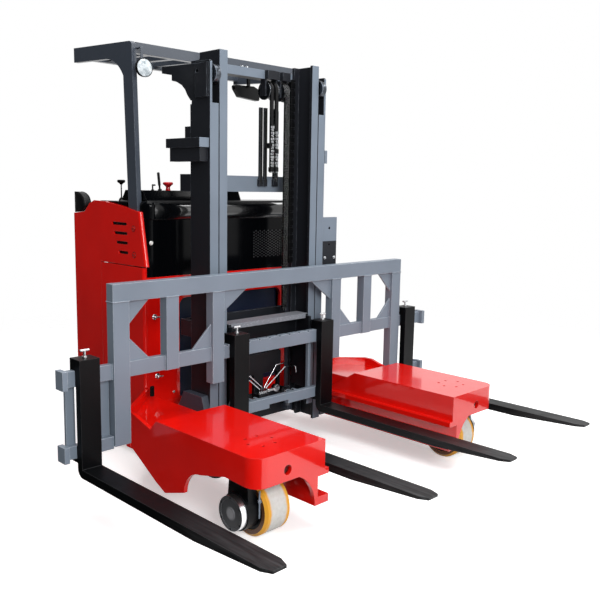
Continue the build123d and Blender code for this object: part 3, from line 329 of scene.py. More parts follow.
class FinishOperator(bpy.types.Operator):
    """Make every material and put it on the frame's nodes"""
    bl_idname = "forklift.finish"
    bl_label = "Paint the frame"

    def execute(self, context):
        paint = context.scene.forklift_colours
        self.paints(paint)
        self.mouldings(paint)
        self.metals()
        self.motor_face()
        self.tread_plate()
        self.vinyl()
        self.glass()
        for material, nodes in LOOKS.items():
            for node in nodes:
                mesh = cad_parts[node].data
                mesh.materials.clear()
                mesh.materials.append(bpy.data.materials[material])
        return {"FINISHED"}

    def paints(self, paint):
        """Enamel, powder coats and plain paints, and the finish of the forks."""
        # Two-pack enamel sprayed on plate: high gloss with a little orange peel, drawn at 6 mm to show, and
        # faintly lighter edges, partly wear and partly a painted highlight
        painted("gloss_enamel_on_steel", paint.enamel, 0.22, 0.7, 6, 0.00010, linear("E85A4C"), shine=0.2,
                rubbed=(0.0, 0.3))
        # Powder coat: satin, with a leathery grain about 3 mm across, drawn at 4 mm to show, and strongly
        # lighter edges, partly wear and partly a painted highlight
        painted("satin_powder_coat", paint.powder, 0.40, 0.0, 4, 0.00015, linear("D0D8E2"), shine=0.3,
                rubbed=(0.4, 1.0))
        # Dark mast and cross members whose front faces take the frame grey: partly two-tone paint, partly
        # painted light from the front
        painted("mast_powder_coat", paint.mast, 0.42, 0.0, 4, 0.00015, linear("8A94A0"),
                lit_fronts=(0.0, ((0, MAST_FRONT + 0.002),), paint.powder), shine=0.15)
        painted("crossbeam_powder_coat", paint.mast, 0.42, 0.0, 4, 0.00015, linear("8A94A0"),
                lit_fronts=(1.2, LIT_FRONT_BANDS, paint.powder), shine=0.15)
        painted("dark_powder_coat", paint.charcoal, 0.38, 0.25, 4, 0.00015, linear("7A8490"))
        # Near-black carriage: partly its paint, partly painted shade
        painted("carriage_powder_coat", paint.carriage, 0.42, 0.0, 4, 0.00015, linear("5A626C"), shine=0.2)
        painted("satin_black_paint", paint.black, 0.40, 0.0, 5, 0.00015, linear("3C3F46"), shine=0.12)
        painted("battery_box_paint", paint.battery, 0.5, 0.0, 5, 0.0002, linear("2A3C5A"), shine=0.25)
        self.fork_paint(paint)

    def mouldings(self, paint):
        """Cast tyres, and moulded plastic and rubber."""
        self.tyre_urethane(paint)
        # Polished ABS: mirror-like, with the faint waves of a large moulding, about 160 mm across
        plastic("polished_abs_moulding", paint.cover, 0.14, 160, 0.0006, shine=0.12)
        plastic("polished_abs_crown", paint.cover, 0.20, 160, 0.0004, coat=0.8)
        plastic("grained_abs", linear("08090B"), 0.45, 2.5, 0.0003, shine=0.15)
        plastic("vent_abs", linear("1C1E22"), 0.4, 2.5, 0.0001, shine=0.3)
        plastic("black_rubber", linear("0E0E0F"), 0.8, 3, 0.0003, shine=0.3)
        plastic("hose_rubber", linear("08090A"), 0.5, 3, 0.0004, shine=0.2)
        plastic("red_abs", linear("C8141C"), 0.25, 30, 0.0001, coat=0.3)
        plastic("white_nylon", linear("E6E6E2"), 0.4, 4, 0.0001)
        plastic("display_glass", linear("0A1418"), 0.08, 200, 0.0001, coat=1.0)
        plastic("moulded_mirror_shell", linear("0A0B0D"), 0.3, 3, 0.0001, shine=0.2)

    def metals(self):
        """Hard chrome on ground steel, zinc plate on turned steel, and bare chain and roller steel."""
        metal("hard_chrome", linear("C4C6CA"), 0.12, 3, 0.00002)
        metal("bright_zinc_plate", linear("B8BABD"), 0.30, 3, 0.00008)
        metal("oiled_chain_steel", linear("161719"), 0.4, 4, 0.0001)
        metal("bright_chain_steel", linear("E4E6EA"), 0.3, 4, 0.0001)
        metal("ground_roller_steel", linear("4A4E54"), 0.3, 3, 0.00005)

    def fork_paint(self, paint):
        """Black forged steel, scuffed to grey towards the tips, with grey edges that are partly wear and
        partly a painted highlight, and zinc-plated locking pins.
        """
        tree, coords = begin("fork_steel")
        normal, edges = edge_mask(tree, 0.003)
        tip = ramp(tree, part_of(tree, coords, "Y"), -0.55, -1.2, 0.0, 0.8)
        stretched = add(tree, "ShaderNodeMapping", {"Vector": coords, "Scale": (1, 0.08, 1)}).outputs[0]
        scuffs = blotch(tree, stretched, 14, 0.0, 1.0, detail=6.0)
        # Scuffs near the tips, and the edges: partly wear, partly a painted highlight
        worn = calc(tree, "MAXIMUM", calc(tree, "MULTIPLY", tip, scuffs), edges)
        worn = calc(tree, "MULTIPLY", worn, 0.22)
        pins = band(tree, coords, "Z", FORK_TOP + 0.0005, NO_LIMIT)
        body = blend_colour(tree, worn, paint.black, linear("8C8C8E"))
        shade(tree, {"Base Color": blend_colour(tree, pins, body, linear("C9CACC")), "Metallic": pins,
                     "Roughness": blotch(tree, coords, 70, 0.34, 0.46), "Specular IOR Level": 0.12,
                     "Normal": bumped(tree, coords, 5, 0.00015, normal)})

    def tyre_urethane(self, paint):
        """Cast polyurethane: amber at the shoulders, scuffed pale where it rolls, dark brown at the flanks,
        partly grease and partly painted shade from the motor and arm.
        """
        tree, coords = begin("cast_polyurethane")
        size = calc(tree, "ABSOLUTE", part_of(tree, coords, "X"))
        from_middle = calc(tree, "ABSOLUTE", calc(tree, "SUBTRACT", size, WHEEL_X))
        ragged = calc(tree, "ADD", from_middle, blotch(tree, coords, 30, -0.002, 0.002))
        flank = calc(tree, "GREATER_THAN", from_middle, (WHEEL_HIGH.x - WHEEL_LOW.x) / 2 - 0.001)
        outer = calc(tree, "GREATER_THAN", from_axle(tree, coords)[1], WHEEL_Z - 0.004)
        worn = calc(tree, "MULTIPLY", ramp(tree, ragged, 0.050, 0.040), outer)
        dirt = blend_colour(tree, blotch(tree, coords, 18, 0.0, 0.3), paint.tread, linear("A39D92"))
        # Flat flanks darkened: partly grease, partly painted shade
        amber = blend_colour(tree, flank, paint.tyre, linear("5A3410"))
        shade(tree, {"Base Color": blend_colour(tree, worn, amber, dirt),
                     "Roughness": blotch(tree, coords, 20, 0.35, 0.6), "Subsurface Weight": 0.08,
                     "Normal": bumped(tree, coords, 4, 0.0002,
                                      add(tree, "ShaderNodeNewGeometry").outputs["Normal"])})

    def motor_face(self):
        """Polished rim on the motor's side, round a dark anodised face whose middle cap is lighter, partly
        its own colour and partly painted light brightening towards the centre, with edges painted lighter as
        a highlight.
        """
        tree, coords = begin("turned_motor_cap")
        normal, edges = edge_mask(tree, METAL_EDGE)
        flat, radius = from_axle(tree, coords)
        bright = calc(tree, "GREATER_THAN", radius, 0.0768)
        wave = add(tree, "ShaderNodeTexWave", {"Vector": flat, "Scale": per(2.4) / 20, "Distortion": 0.6},
                   wave_type="RINGS", rings_direction="X")
        # Painted light: the face brightens towards the middle cap
        face = blend_colour(tree, ramp(tree, radius, 0.034, 0.018), linear("4C4D50"), linear("9A9A9E"))
        face = blend_colour(tree, bright, face, linear("E6E8EC"))
        # Edges painted lighter as a highlight
        shade(tree, {"Base Color": blend_colour(tree, edges, face, linear("8A8C90")),
                     "Metallic": ramp(tree, bright, 0, 1, 0.35),
                     "Roughness": ramp(tree, bright, 0, 1, 0.42, 0.30),
                     "Normal": raised(tree, wave.outputs["Fac"], 0.00005, Normal=normal)})

    def tread_plate(self):
        """Grey anti-slip plate with raised grains about 6 mm apart, rubbed bright on their tops."""
        tree, coords = begin("anti_slip_plate")
        cells = add(tree, "ShaderNodeTexVoronoi", {"Vector": coords, "Scale": per(9)})
        tops = ramp(tree, cells.outputs["Distance"], 0.35, 0.15)
        shade(tree, {"Base Color": blend_colour(tree, tops, linear("7A7E86"), linear("A4A8AE")),
                     "Metallic": 0.1, "Roughness": blotch(tree, coords, 30, 0.45, 0.65),
                     "Normal": raised(tree, tops, 0.0008, 0.8)})

    def vinyl(self):
        """Foam-backed vinyl: black, low sheen, with a pebble grain drawn at 4 mm to show."""
        tree, coords = begin("grained_vinyl")
        pebbles = add(tree, "ShaderNodeTexVoronoi", {"Vector": coords, "Scale": per(4)})
        tone = blend_colour(tree, blotch(tree, coords, 50, 0.0, 0.5), linear("08080A"), linear("111113"))
        shade(tree, {"Base Color": tone, "Roughness": blotch(tree, coords, 30, 0.4, 0.55),
                     "Specular IOR Level": 0.3, "Normal": raised(tree, pebbles.outputs["Distance"], 0.0005)})

    def glass(self):
        """Silvered mirror, and the lamp's bright facetted lens."""
        metal("silvered_mirror", linear("DDE2E8"), 0.03, 200, 0.00001)
        tree, coords = begin("lamp_reflector")
        facets = add(tree, "ShaderNodeTexVoronoi", {"Vector": coords, "Scale": per(14)}).outputs["Color"]
        tone = blend_colour(tree, facets, linear("7C8A90"), linear("E8EEF2"))
        shade(tree, {"Base Color": tone, "Roughness": blotch(tree, coords, 10, 0.2, 0.4),
                     "Emission Color": tone, "Emission Strength": 0.2})


# Mesh code. A shape is gathered in a bmesh and then kept as one piece.
def prism(bm, axis, outline, start, end):
    """A flat outline pushed along an axis. The outline holds the two other coordinates in XYZ order."""
    order = {"X": (0, 1, 2), "Y": (1, 0, 2), "Z": (2, 0, 1)}[axis]

    def place(along, a, b):
        spot = [0, 0, 0]
        for i, value in zip(order, (along, a, b)):
            spot[i] = value
        return spot

    rings = [[bm.verts.new(place(along, a, b)) for a, b in outline] for along in (start, end)]
    count = len(outline)
    bm.faces.new(rings[0])
    bm.faces.new(list(reversed(rings[1])))
    for i in range(count):
        j = (i + 1) % count
        bm.faces.new((rings[0][j], rings[0][i], rings[1][i], rings[1][j]))


def brick(bm, low, high):
    """A block between two corners."""
    prism(bm, "Z", [(low[0], low[1]), (high[0], low[1]), (high[0], high[1]), (low[0], high[1])],
          low[2], high[2])


def turned(bm, centre, direction, profile, steps):
    """A profile of (distance along, radius) turned about a direction through a centre."""
    turn = Vector(direction).to_track_quat("Z", "Y").to_matrix().to_4x4()
    place = Matrix.Translation(Vector(centre)) @ turn
    rings = []
    for along, radius in profile:
        if radius < 1e-6:
            rings.append([bm.verts.new(place @ Vector((0, 0, along)))])
            continue
        rings.append([bm.verts.new(place @ Vector((radius * math.cos(2 * math.pi * k / steps),
                                                   radius * math.sin(2 * math.pi * k / steps), along)))
                      for k in range(steps)])
    for a, b in zip(rings, rings[1:]):
        for k in range(steps):
            n = (k + 1) % steps
            corners = [a[k % len(a)], a[n % len(a)], b[n % len(b)], b[k % len(b)]]
            bm.faces.new(list(dict.fromkeys(corners)))
    for ring, flip in ((rings[0], True), (rings[-1], False)):
        if len(ring) > 1:
            bm.faces.new(list(reversed(ring)) if flip else ring)


def on_circle(radius, angles):
    """Points of a circle at angles in degrees."""
    return [(radius * math.cos(math.radians(a)), radius * math.sin(math.radians(a))) for a in angles]


def rounded(a, b, half_a, half_b, corner, steps=5):
    """Outline of a rectangle with round corners about a middle point."""
    points = []
    for sa, sb, start in ((1, 1, 0), (-1, 1, 90), (-1, -1, 180), (1, -1, 270)):
        curve = on_circle(corner, [start + 90 * k / steps for k in range(steps + 1)])
        points += [(a + sa * (half_a - corner) + da, b + sb * (half_b - corner) + db) for da, db in curve]
    return points


def skirt(bm, first, second):
    """Faces between two closed rows of as many points."""
    for i in range(len(first)):
        j = (i + 1) % len(first)
        bm.faces.new((first[i], first[j], second[j], second[i]))


def smooth_line(points, steps):
    """A closed outline whose run between the first and last point is rounded by a spline."""
    line = []
    for i in range(len(points) - 1):
        a, b, c, d = (Vector(points[min(max(j, 0), len(points) - 1)]) for j in (i - 1, i, i + 1, i + 2))
        for k in range(steps):
            f = k / steps
            line.append(tuple(0.5 * (2 * b + (c - a) * f + (2 * a - 5 * b + 4 * c - d) * f ** 2
                                     + (3 * b - a - 3 * c + d) * f ** 3)))
    return line + [points[-1]]


def keep(name, bm, body, material, slot, bevel=0.0, smooth=40, replaces=()):
    """Turn a bmesh or mesh into a piece that rides on a body."""
    if isinstance(bm, bmesh.types.BMesh):
        bmesh.ops.recalc_face_normals(bm, faces=bm.faces)
        mesh = bpy.data.meshes.new(name)
        bm.to_mesh(mesh)
        bm.free()
    else:
        mesh = bm
        mesh.name = name
    mesh.materials.clear()
    mesh.materials.append(bpy.data.materials[material])
    mesh.shade_smooth()
    mesh.set_sharp_from_angle(angle=math.radians(smooth))
    piece = bpy.data.objects.new(name, mesh)
    bpy.context.scene.collection.objects.link(piece)
    if bevel:
        rim = piece.modifiers.new("Edges", "BEVEL")
        rim.width, rim.segments, rim.limit_method = bevel, 2, "ANGLE"
        rim.harden_normals = True
    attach(piece, body)
    if replaces:
        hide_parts(*replaces)
    return piece


def lathe(name, shapes, body, material, slot, **more):
    """A piece of turned shapes, each with its centre, direction, profile and steps."""
    bm = bmesh.new()
    for shape in shapes:
        turned(bm, *shape)
    return keep(name, bm, body, material, slot, **more)


def bricks(name, blocks, body, material, slot, **more):
    """A piece of blocks between pairs of corners."""
    bm = bmesh.new()
    for low, high in blocks:
        brick(bm, low, high)
    return keep(name, bm, body, material, slot, **more)


# Node trees for what repeats
def node_tree(name, values):
    """A geometry node tree with named inputs, and its input node."""
    tree = bpy.data.node_groups.new(name, "GeometryNodeTree")
    tree.interface.new_socket("Geometry", in_out="INPUT", socket_type="NodeSocketGeometry")
    for label, kind, default in values:
        socket = tree.interface.new_socket(label, in_out="INPUT", socket_type=kind)
        if default is not None:
            socket.default_value = default
    tree.interface.new_socket("Geometry", in_out="OUTPUT", socket_type="NodeSocketGeometry")
    return tree, add(tree, "NodeGroupInput").outputs


def close_tree(tree, given, shape):
    """Realize the instances, give them their material and end the tree."""
    real = add(tree, "GeometryNodeRealizeInstances", {0: shape}).outputs[0]
    done = add(tree, "GeometryNodeSetMaterial", {"Geometry": real, "Material": given["Material"]})
    add(tree, "NodeGroupOutput", {0: done.outputs[0]})


def fastener_tree():
    """A round washer with a hexagon or round head on each point, standing along its aim."""
    tree, given = node_tree("Fasteners", [("Material", "NodeSocketMaterial", None),
                                          ("Radius", "NodeSocketFloat", 0.008),
                                          ("Height", "NodeSocketFloat", 0.006),
                                          ("Sides", "NodeSocketInt", 6)])
    head = add(tree, "GeometryNodeMeshCylinder", {"Vertices": given["Sides"], "Radius": given["Radius"],
                                                  "Depth": given["Height"]}).outputs["Mesh"]
    half = calc(tree, "MULTIPLY", given["Height"], 0.5)
    head = add(tree, "GeometryNodeTransform", {"Geometry": head, "Translation": add(
        tree, "ShaderNodeCombineXYZ", {2: half}).outputs[0]}).outputs[0]
    wide = calc(tree, "MULTIPLY", given["Radius"], 1.35)
    thin = calc(tree, "MULTIPLY", given["Height"], 0.5)
    washer = add(tree, "GeometryNodeMeshCylinder", {"Vertices": 16, "Radius": wide, "Depth": thin})
    both = add(tree, "GeometryNodeJoinGeometry", {0: head})
    tree.links.new(washer.outputs["Mesh"], both.inputs[0])
    aim = add(tree, "GeometryNodeInputNamedAttribute", {"Name": "aim"}, data_type="FLOAT_VECTOR")
    turn = add(tree, "FunctionNodeAlignRotationToVector", {"Vector": aim.outputs["Attribute"]}, axis="Z")
    points = add(tree, "GeometryNodeMeshToPoints", {0: given["Geometry"]}).outputs[0]
    copies = add(tree, "GeometryNodeInstanceOnPoints", {"Points": points, "Instance": both.outputs[0],
                                                        "Rotation": turn.outputs[0]})
    close_tree(tree, given, copies.outputs[0])


def weld_tree():
    """Overlapping flat ripples along every edge."""
    tree, given = node_tree("Weld bead", [("Material", "NodeSocketMaterial", None),
                                          ("Pitch", "NodeSocketFloat", 0.007),
                                          ("Radius", "NodeSocketFloat", 0.005)])
    line = add(tree, "GeometryNodeMeshToCurve", {0: given["Geometry"]}).outputs[0]
    line = add(tree, "GeometryNodeResampleCurve", {"Curve": line, "Length": given["Pitch"]}, mode="LENGTH")
    drop = add(tree, "GeometryNodeMeshIcoSphere", {"Radius": given["Radius"], "Subdivisions": 1}).outputs[0]
    turn = add(tree, "FunctionNodeAlignRotationToVector", {
        "Vector": add(tree, "GeometryNodeInputTangent").outputs[0]}, axis="X")
    copies = add(tree, "GeometryNodeInstanceOnPoints", {
        "Points": line.outputs[0], "Instance": drop, "Rotation": turn.outputs[0], "Scale": (1.1, 0.9, 0.9)})
    close_tree(tree, given, copies.outputs[0])


def chain_tree():
    """Leaf chain along every edge in the YZ plane: side plates in two rows and a pin at each pitch."""
    tree, given = node_tree("Leaf chain", [("Material", "NodeSocketMaterial", None),
                                           ("Pitch", "NodeSocketFloat", 0.019),
                                           ("Width", "NodeSocketFloat", 0.032),
                                           ("Overlap", "NodeSocketFloat", 1.55)])
    line = add(tree, "GeometryNodeMeshToCurve", {0: given["Geometry"]}).outputs[0]
    line = add(tree, "GeometryNodeResampleCurve", {"Curve": line, "Length": given["Pitch"]}, mode="LENGTH")
    turn = add(tree, "FunctionNodeAlignRotationToVector", {
        "Vector": add(tree, "GeometryNodeInputTangent").outputs[0]}, axis="Z", pivot_axis="X")
    pin = add(tree, "GeometryNodeMeshCylinder", {"Vertices": 8, "Radius": 0.0035, "Depth": given["Width"]})
    pin = add(tree, "GeometryNodeTransform", {"Geometry": pin.outputs["Mesh"],
                                              "Rotation": (0, math.pi / 2, 0)}).outputs[0]
    link = add(tree, "GeometryNodeJoinGeometry", {0: pin})
    long = calc(tree, "MULTIPLY", given["Pitch"], given["Overlap"])
    for place, lift in ((-0.46, 0.5), (-0.23, 0.0), (0.0, 0.5), (0.23, 0.0), (0.46, 0.5)):
        plate = add(tree, "GeometryNodeMeshCube", {"Size": add(tree, "ShaderNodeCombineXYZ", {
            0: 0.0028, 1: 0.0155, 2: long}).outputs[0]}).outputs["Mesh"]
        side = calc(tree, "MULTIPLY", given["Width"], place)
        up = calc(tree, "MULTIPLY", given["Pitch"], lift)
        plate = add(tree, "GeometryNodeTransform", {"Geometry": plate, "Translation": add(
            tree, "ShaderNodeCombineXYZ", {0: side, 2: up}).outputs[0]}).outputs[0]
        tree.links.new(plate, link.inputs[0])
    copies = add(tree, "GeometryNodeInstanceOnPoints", {
        "Points": line.outputs[0], "Instance": link.outputs[0], "Rotation": turn.outputs[0]})
    close_tree(tree, given, copies.outputs[0])


def hose_tree():
    """A round hose along every edge, ribbed by a fine change of its radius."""
    tree, given = node_tree("Ribbed hose", [("Material", "NodeSocketMaterial", None),
                                            ("Radius", "NodeSocketFloat", 0.012),
                                            ("Pitch", "NodeSocketFloat", 0.009)])
    line = add(tree, "GeometryNodeMeshToCurve", {0: given["Geometry"]}).outputs[0]
    half = calc(tree, "MULTIPLY", given["Pitch"], 0.5)
    line = add(tree, "GeometryNodeResampleCurve", {"Curve": line, "Length": half}, mode="LENGTH").outputs[0]
    odd = add(tree, "FunctionNodeIntegerMath", {0: add(tree, "GeometryNodeInputIndex").outputs[0], 1: 2},
              operation="MODULO").outputs[0]
    swell = ramp(tree, odd, 0, 1, 0.93, 1.0)
    radius = calc(tree, "MULTIPLY", swell, given["Radius"])
    ring = add(tree, "GeometryNodeCurvePrimitiveCircle", {"Resolution": 12, "Radius": 1.0}).outputs[0]
    tube = add(tree, "GeometryNodeCurveToMesh", {"Curve": line, "Profile Curve": ring, "Scale": radius,
                                                 "Fill Caps": True}).outputs[0]
    close_tree(tree, given, tube)


def mat_tree():
    """A straight rubber rib along every edge."""
    tree, given = node_tree("Mat ribs", [("Material", "NodeSocketMaterial", None),
                                         ("Width", "NodeSocketFloat", 0.01),
                                         ("Height", "NodeSocketFloat", 0.003)])
    line = add(tree, "GeometryNodeMeshToCurve", {0: given["Geometry"]}).outputs[0]
    across = add(tree, "GeometryNodeCurvePrimitiveQuadrilateral", {"Width": given["Width"],
                                                                   "Height": given["Height"]}).outputs[0]
    rib = add(tree, "GeometryNodeCurveToMesh", {"Curve": line, "Profile Curve": across,
                                                "Fill Caps": True}).outputs[0]
    close_tree(tree, given, rib)


def grown(mesh, tree, values):
    """The plain mesh that a node tree makes of a mesh."""
    holder = bpy.data.objects.new("growing", mesh)
    bpy.context.scene.collection.objects.link(holder)
    modifier = holder.modifiers.new("Repeat", "NODES")
    modifier.node_group = bpy.data.node_groups[tree]
    for item in modifier.node_group.interface.items_tree:
        if item.in_out == "INPUT" and item.name in values:
            modifier[item.identifier] = values[item.name]
    shown = holder.evaluated_get(bpy.context.evaluated_depsgraph_get())
    made = bpy.data.meshes.new_from_object(shown)
    bpy.data.objects.remove(holder)
    return made


def fasteners(name, spots, body, material, slot, radius=0.008, height=0.006, sides=6):
    """Heads at (place, direction) spots, as one piece."""
    mesh = bpy.data.meshes.new(name)
    mesh.from_pydata([place for place, _ in spots], [], [])
    aim = mesh.attributes.new("aim", "FLOAT_VECTOR", "POINT")
    aim.data.foreach_set("vector", [value for _, direction in spots for value in direction])
    made = grown(mesh, "Fasteners", {"Material": bpy.data.materials[material], "Radius": radius,
                                     "Height": height, "Sides": sides})
    return keep(name, made, body, material, slot, smooth=35)


def along(name, lines, tree, values, body, material, slot):
    """What a tree makes along lines of points, as one piece."""
    mesh = bpy.data.meshes.new(name)
    points, edges = [], []
    for line in lines:
        edges += [(len(points) + i, len(points) + i + 1) for i in range(len(line) - 1)]
        points += line
    mesh.from_pydata(points, edges, [])
    made = grown(mesh, tree, {"Material": bpy.data.materials[material], **values})
    return keep(name, made, body, material, slot, smooth=50)


class WeldOperator(bpy.types.Operator):
    """Weld beads where the posts and gussets of the fork frame meet its rail and bars"""
    bl_idname = "forklift.welds"
    bl_label = "Weld beads"

    def execute(self, context):
        sizes = context.scene.forklift_sizes
        y0, y1 = RAIL_LOW.y, RAIL_HIGH.y
        under = RAIL_LOW.z
        lines = []
        for s in (-1, 1):
            for x0, x1 in POST_EDGES:
                lines.append([(s * x0, y0, under), (s * x1, y0, under)])
                lines.append([(s * x0, y1, under), (s * x1, y1, under)])
                for x in (x0, x1):
                    lines.append([(s * x, BARS_LOW.y, BAR_FOOT), (s * x, BARS_LOW.y, BARS_HIGH.z)])
                    lines.append([(s * x, y0 + 0.004, under), (s * x, y1 - 0.004, under)])
        bead = {"Pitch": sizes.weld_pitch, "Radius": sizes.weld_size}
        along("frame_weld_beads", lines, "Weld bead", bead, "fork_frame", "satin_powder_coat", "grey_paint")
        for side, s in (("left", -1), ("right", 1)):
            lines = [[(s * 0.563, -0.057, LEG_HIGH.z - 0.056), (s * 0.563, 0.007, 0.361)],
                     [(s * 0.917, 0.165, 0.235), (s * 0.917, 0.165, 0.405)]]
            along(f"leg_weld_beads_{side}", lines, "Weld bead", bead, "chassis", *ENAMEL)
        return {"FINISHED"}


class ChainOperator(bpy.types.Operator):
    """Leaf chain plates over both lift chains, and the two round hoses with the bright chain between them"""
    bl_idname = "forklift.chains"
    bl_label = "Lift chains and hoses"

    def execute(self, context):
        sizes = context.scene.forklift_sizes
        links = {"Pitch": sizes.chain_pitch, "Width": 0.033}
        tube = {"Radius": 0.0112, "Pitch": 0.009}
        for names, tree, values, columns, low, ends, look in (
                (("lift_chain_links", "anchor_chain_links"), "Leaf chain", links, (-PULLEY_X, PULLEY_X),
                 0.80, (1.565, 1.935), "oiled_chain_steel"),
                (("mast_hoses", "anchor_hoses"), "Ribbed hose", tube, HOSES_X,
                 1.602, (1.542, 1.950), "hose_rubber")):
            front = [self.over(x, low) for x in columns]
            rear = [[(x, REAR_RUN, z) for z in ends] for x in columns]
            along(names[0], front, tree, values, "inner_mast", look, "black_plastic")
            along(names[1], rear, tree, values, "reach_carriage", look, "charcoal_paint")
        bright = [[(x, FRONT_RUN - 0.0045, 1.605), (x, FRONT_RUN - 0.0045, z)]
                  for x, z in zip(HOSES_X, (1.84, 1.81))]
        along("hose_chain_links", bright, "Leaf chain", {"Pitch": 0.030, "Width": 0.020, "Overlap": 0.45},
              "inner_mast", "bright_chain_steel", "bare_steel")
        clamps, collar = bmesh.new(), [(0, 0.0135), (0, 0.0165), (0.024, 0.0165), (0.024, 0.0135)]
        for x, z in ((HOSES_X[0], 1.605), (HOSES_X[1], 1.605), (HOSES_X[1], 1.708)):
            turned(clamps, (x, FRONT_RUN, z), UP, collar, 16)
        brick(clamps, (HOSES_X[0] - 0.026, FRONT_RUN - 0.016, 1.735),
              (HOSES_X[0] - 0.010, FRONT_RUN + 0.012, 1.765))
        keep("hose_clamps", clamps, "inner_mast", *ABS, bevel=0.001)
        return {"FINISHED"}

    def over(self, x, low):
        """Points up a front run and over the pulley."""
        turn = on_circle(CHAIN_R, [180 - 15 * k for k in range(13)])
        return [(x, FRONT_RUN, low)] + [(x, PULLEY_Y + a, PULLEY_Z + b) for a, b in turn]


class MastOperator(bpy.types.Operator):
    """Guide rollers in the mast's ears, gland nuts on the lift cylinders and the anti-slip shelf"""
    bl_idname = "forklift.mast"
    bl_label = "Mast fittings"

    def execute(self, context):
        y, z = EAR_ROLLER
        rim = [(0, 0.018), (0, 0.040), (0.002, 0.0475), (0.005, 0.0486), (0.030, 0.0486), (0.033, 0.0475),
               (0.035, 0.040), (0.035, 0.018)]
        lathe("ear_roller_rims", [((s * 0.3715, y, z), (s, 0, 0), rim, 40) for s in (-1, 1)],
              "reach_carriage", "ground_roller_steel", "bare_steel")
        pin = [(-0.004, 0.018), (0.001, 0.018), (0.002, 0.016), (0.002, 0)]
        lathe("ear_roller_pins", [((s * 0.368, y, z), (-s, 0, 0), pin, 24) for s in (-1, 1)],
              "reach_carriage", *BLACK)
        bricks("column_tab", [((0.4385, MAST_FRONT + 0.006, 1.660), (0.4560, MAST_FRONT + 0.034, 1.736))],
               "reach_carriage", "satin_powder_coat", "grey_paint", bevel=0.0012)
        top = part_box("lift_cylinders")[1]
        gland = [(-0.016, 0.0325), (-0.004, 0.0325), (0.0, 0.030), (0.006, 0.024), (0.006, 0.0168)]
        lathe("cylinder_glands", [((s * (top.x - 0.031), top.y - 0.034, top.z), UP, gland, 24)
                                  for s in (-1, 1)], "reach_carriage", *ZINC)
        left, right, height = SHELF_LOW.x, SHELF_HIGH.x, SHELF_HIGH.z
        bricks("anti_slip_shelf", [
            ((left + 0.002, MAST_FRONT - 0.0065, height - 0.0005),
             (right - 0.002, MAST_FRONT + 0.088, height + 0.0025)),
            ((left + 0.018, MAST_FRONT - 0.0065, height - 0.026),
             (right - 0.018, MAST_FRONT - 0.0042, height))],
            "lift_carriage", "anti_slip_plate", "bare_steel", bevel=0.0008)
        coupling = [(0, 0.008), (0.002, 0.010), (0.018, 0.010), (0.018, 0.0075), (0.062, 0.0075),
                    (0.062, 0.010), (0.074, 0.010), (0.074, 0.006)]
        ring = [(0, 0.011), (0, 0.019), (0.003, 0.021), (0.015, 0.021), (0.018, 0.019), (0.018, 0.011)]
        nut = [(0, 0.0072), (0.009, 0.0072), (0.011, 0.0055), (0.016, 0.0055), (0.017, 0.0042)]
        lathe("pipe_fittings", [((0.022, PIPE_Y, 0.343), RIGHT, coupling, 20),
                                ((0.098, PIPE_Y - 0.009, 0.347), BACK, ring, 28),
                                *[((x, PIPE_Y, 0.3285), UP, nut, 6)
                                  for x in (-0.033, -0.017, -0.001, 0.014)]],
              "lift_carriage", *ZINC)
        return {"FINISHED"}


class FastenerOperator(bpy.types.Operator):
    """Screws and bolts of the wheels, lugs, plates and covers"""
    bl_idname = "forklift.fasteners"
    bl_label = "Fasteners"

    def execute(self, context):
        for side, s in SIDES:
            ring = [((s * MOTOR_X, WHEEL_Y + a, WHEEL_Z + b), (s, 0, 0))
                    for a, b in on_circle(0.071, range(30, 390, 60))]
            fasteners(f"motor_screws_{side}", ring, f"swivel_{side}", *BLACK,
                      radius=0.0042, height=0.002, sides=10)
            nuts = [((s * HUB_X, WHEEL_Y + a, WHEEL_Z + b), (-s, 0, 0))
                    for a, b in on_circle(0.056, range(0, 360, 72))]
            fasteners(f"hub_bolts_{side}", nuts, f"wheel_{side}", *ZINC, height=0.007)
        body = [((s * x, FRONT_Y, z), FORWARD) for s in (-1, 1)
                for x, z in ((0.430, 0.955), (0.560, 0.955), (0.430, 0.360))]
        fasteners("front_panel_screws", body, "chassis", *ZINC, radius=0.006,
                  height=0.004, sides=12)
        plugs = [((s * 0.570, FRONT_Y, 1.208), FORWARD) for s in (-1, 1)]
        fasteners("cover_plugs", plugs, "chassis", "white_nylon", "bare_steel", radius=0.0085, sides=20)
        head = [((x, MAST_REAR + 0.037, HEAD_TOP), UP) for x in (-0.330, -0.045, -0.010, 0.330)]
        fasteners("mast_head_bolts", head, "inner_mast", *ZINC, radius=0.0105,
                  height=0.011)
        plate = [((x, MAST_FRONT, z), FORWARD) for x in (0.446, 0.528) for z in (0.94, 1.10)]
        fasteners("hose_plate_bolts", plate, "reach_carriage", *ZINC, radius=0.007)
        bolt = [(0, 0.0078), (0.006, 0.0078), (0.007, 0.0068), (0.007, 0.0036), (0.003, 0.0036), (0.003, 0)]
        plug = [(0, 0.0216), (0.004, 0.0216), (0.005, 0.020), (0.005, 0)]
        for side, s in SIDES:
            lathe(f"leg_bolts_{side}", [
                *[((s * (WHEEL_X + a), WHEEL_Y + b, LEG_HIGH.z - 0.0105), UP, bolt, 16)
                  for a, b in on_circle(0.069, range(0, 360, 60))],
                ((s * (LEG_LOW.x + 0.169), LEG_LOW.y + 0.010, 0.333), FORWARD, plug, 28)],
                "chassis", *BLACK)
        return {"FINISHED"}


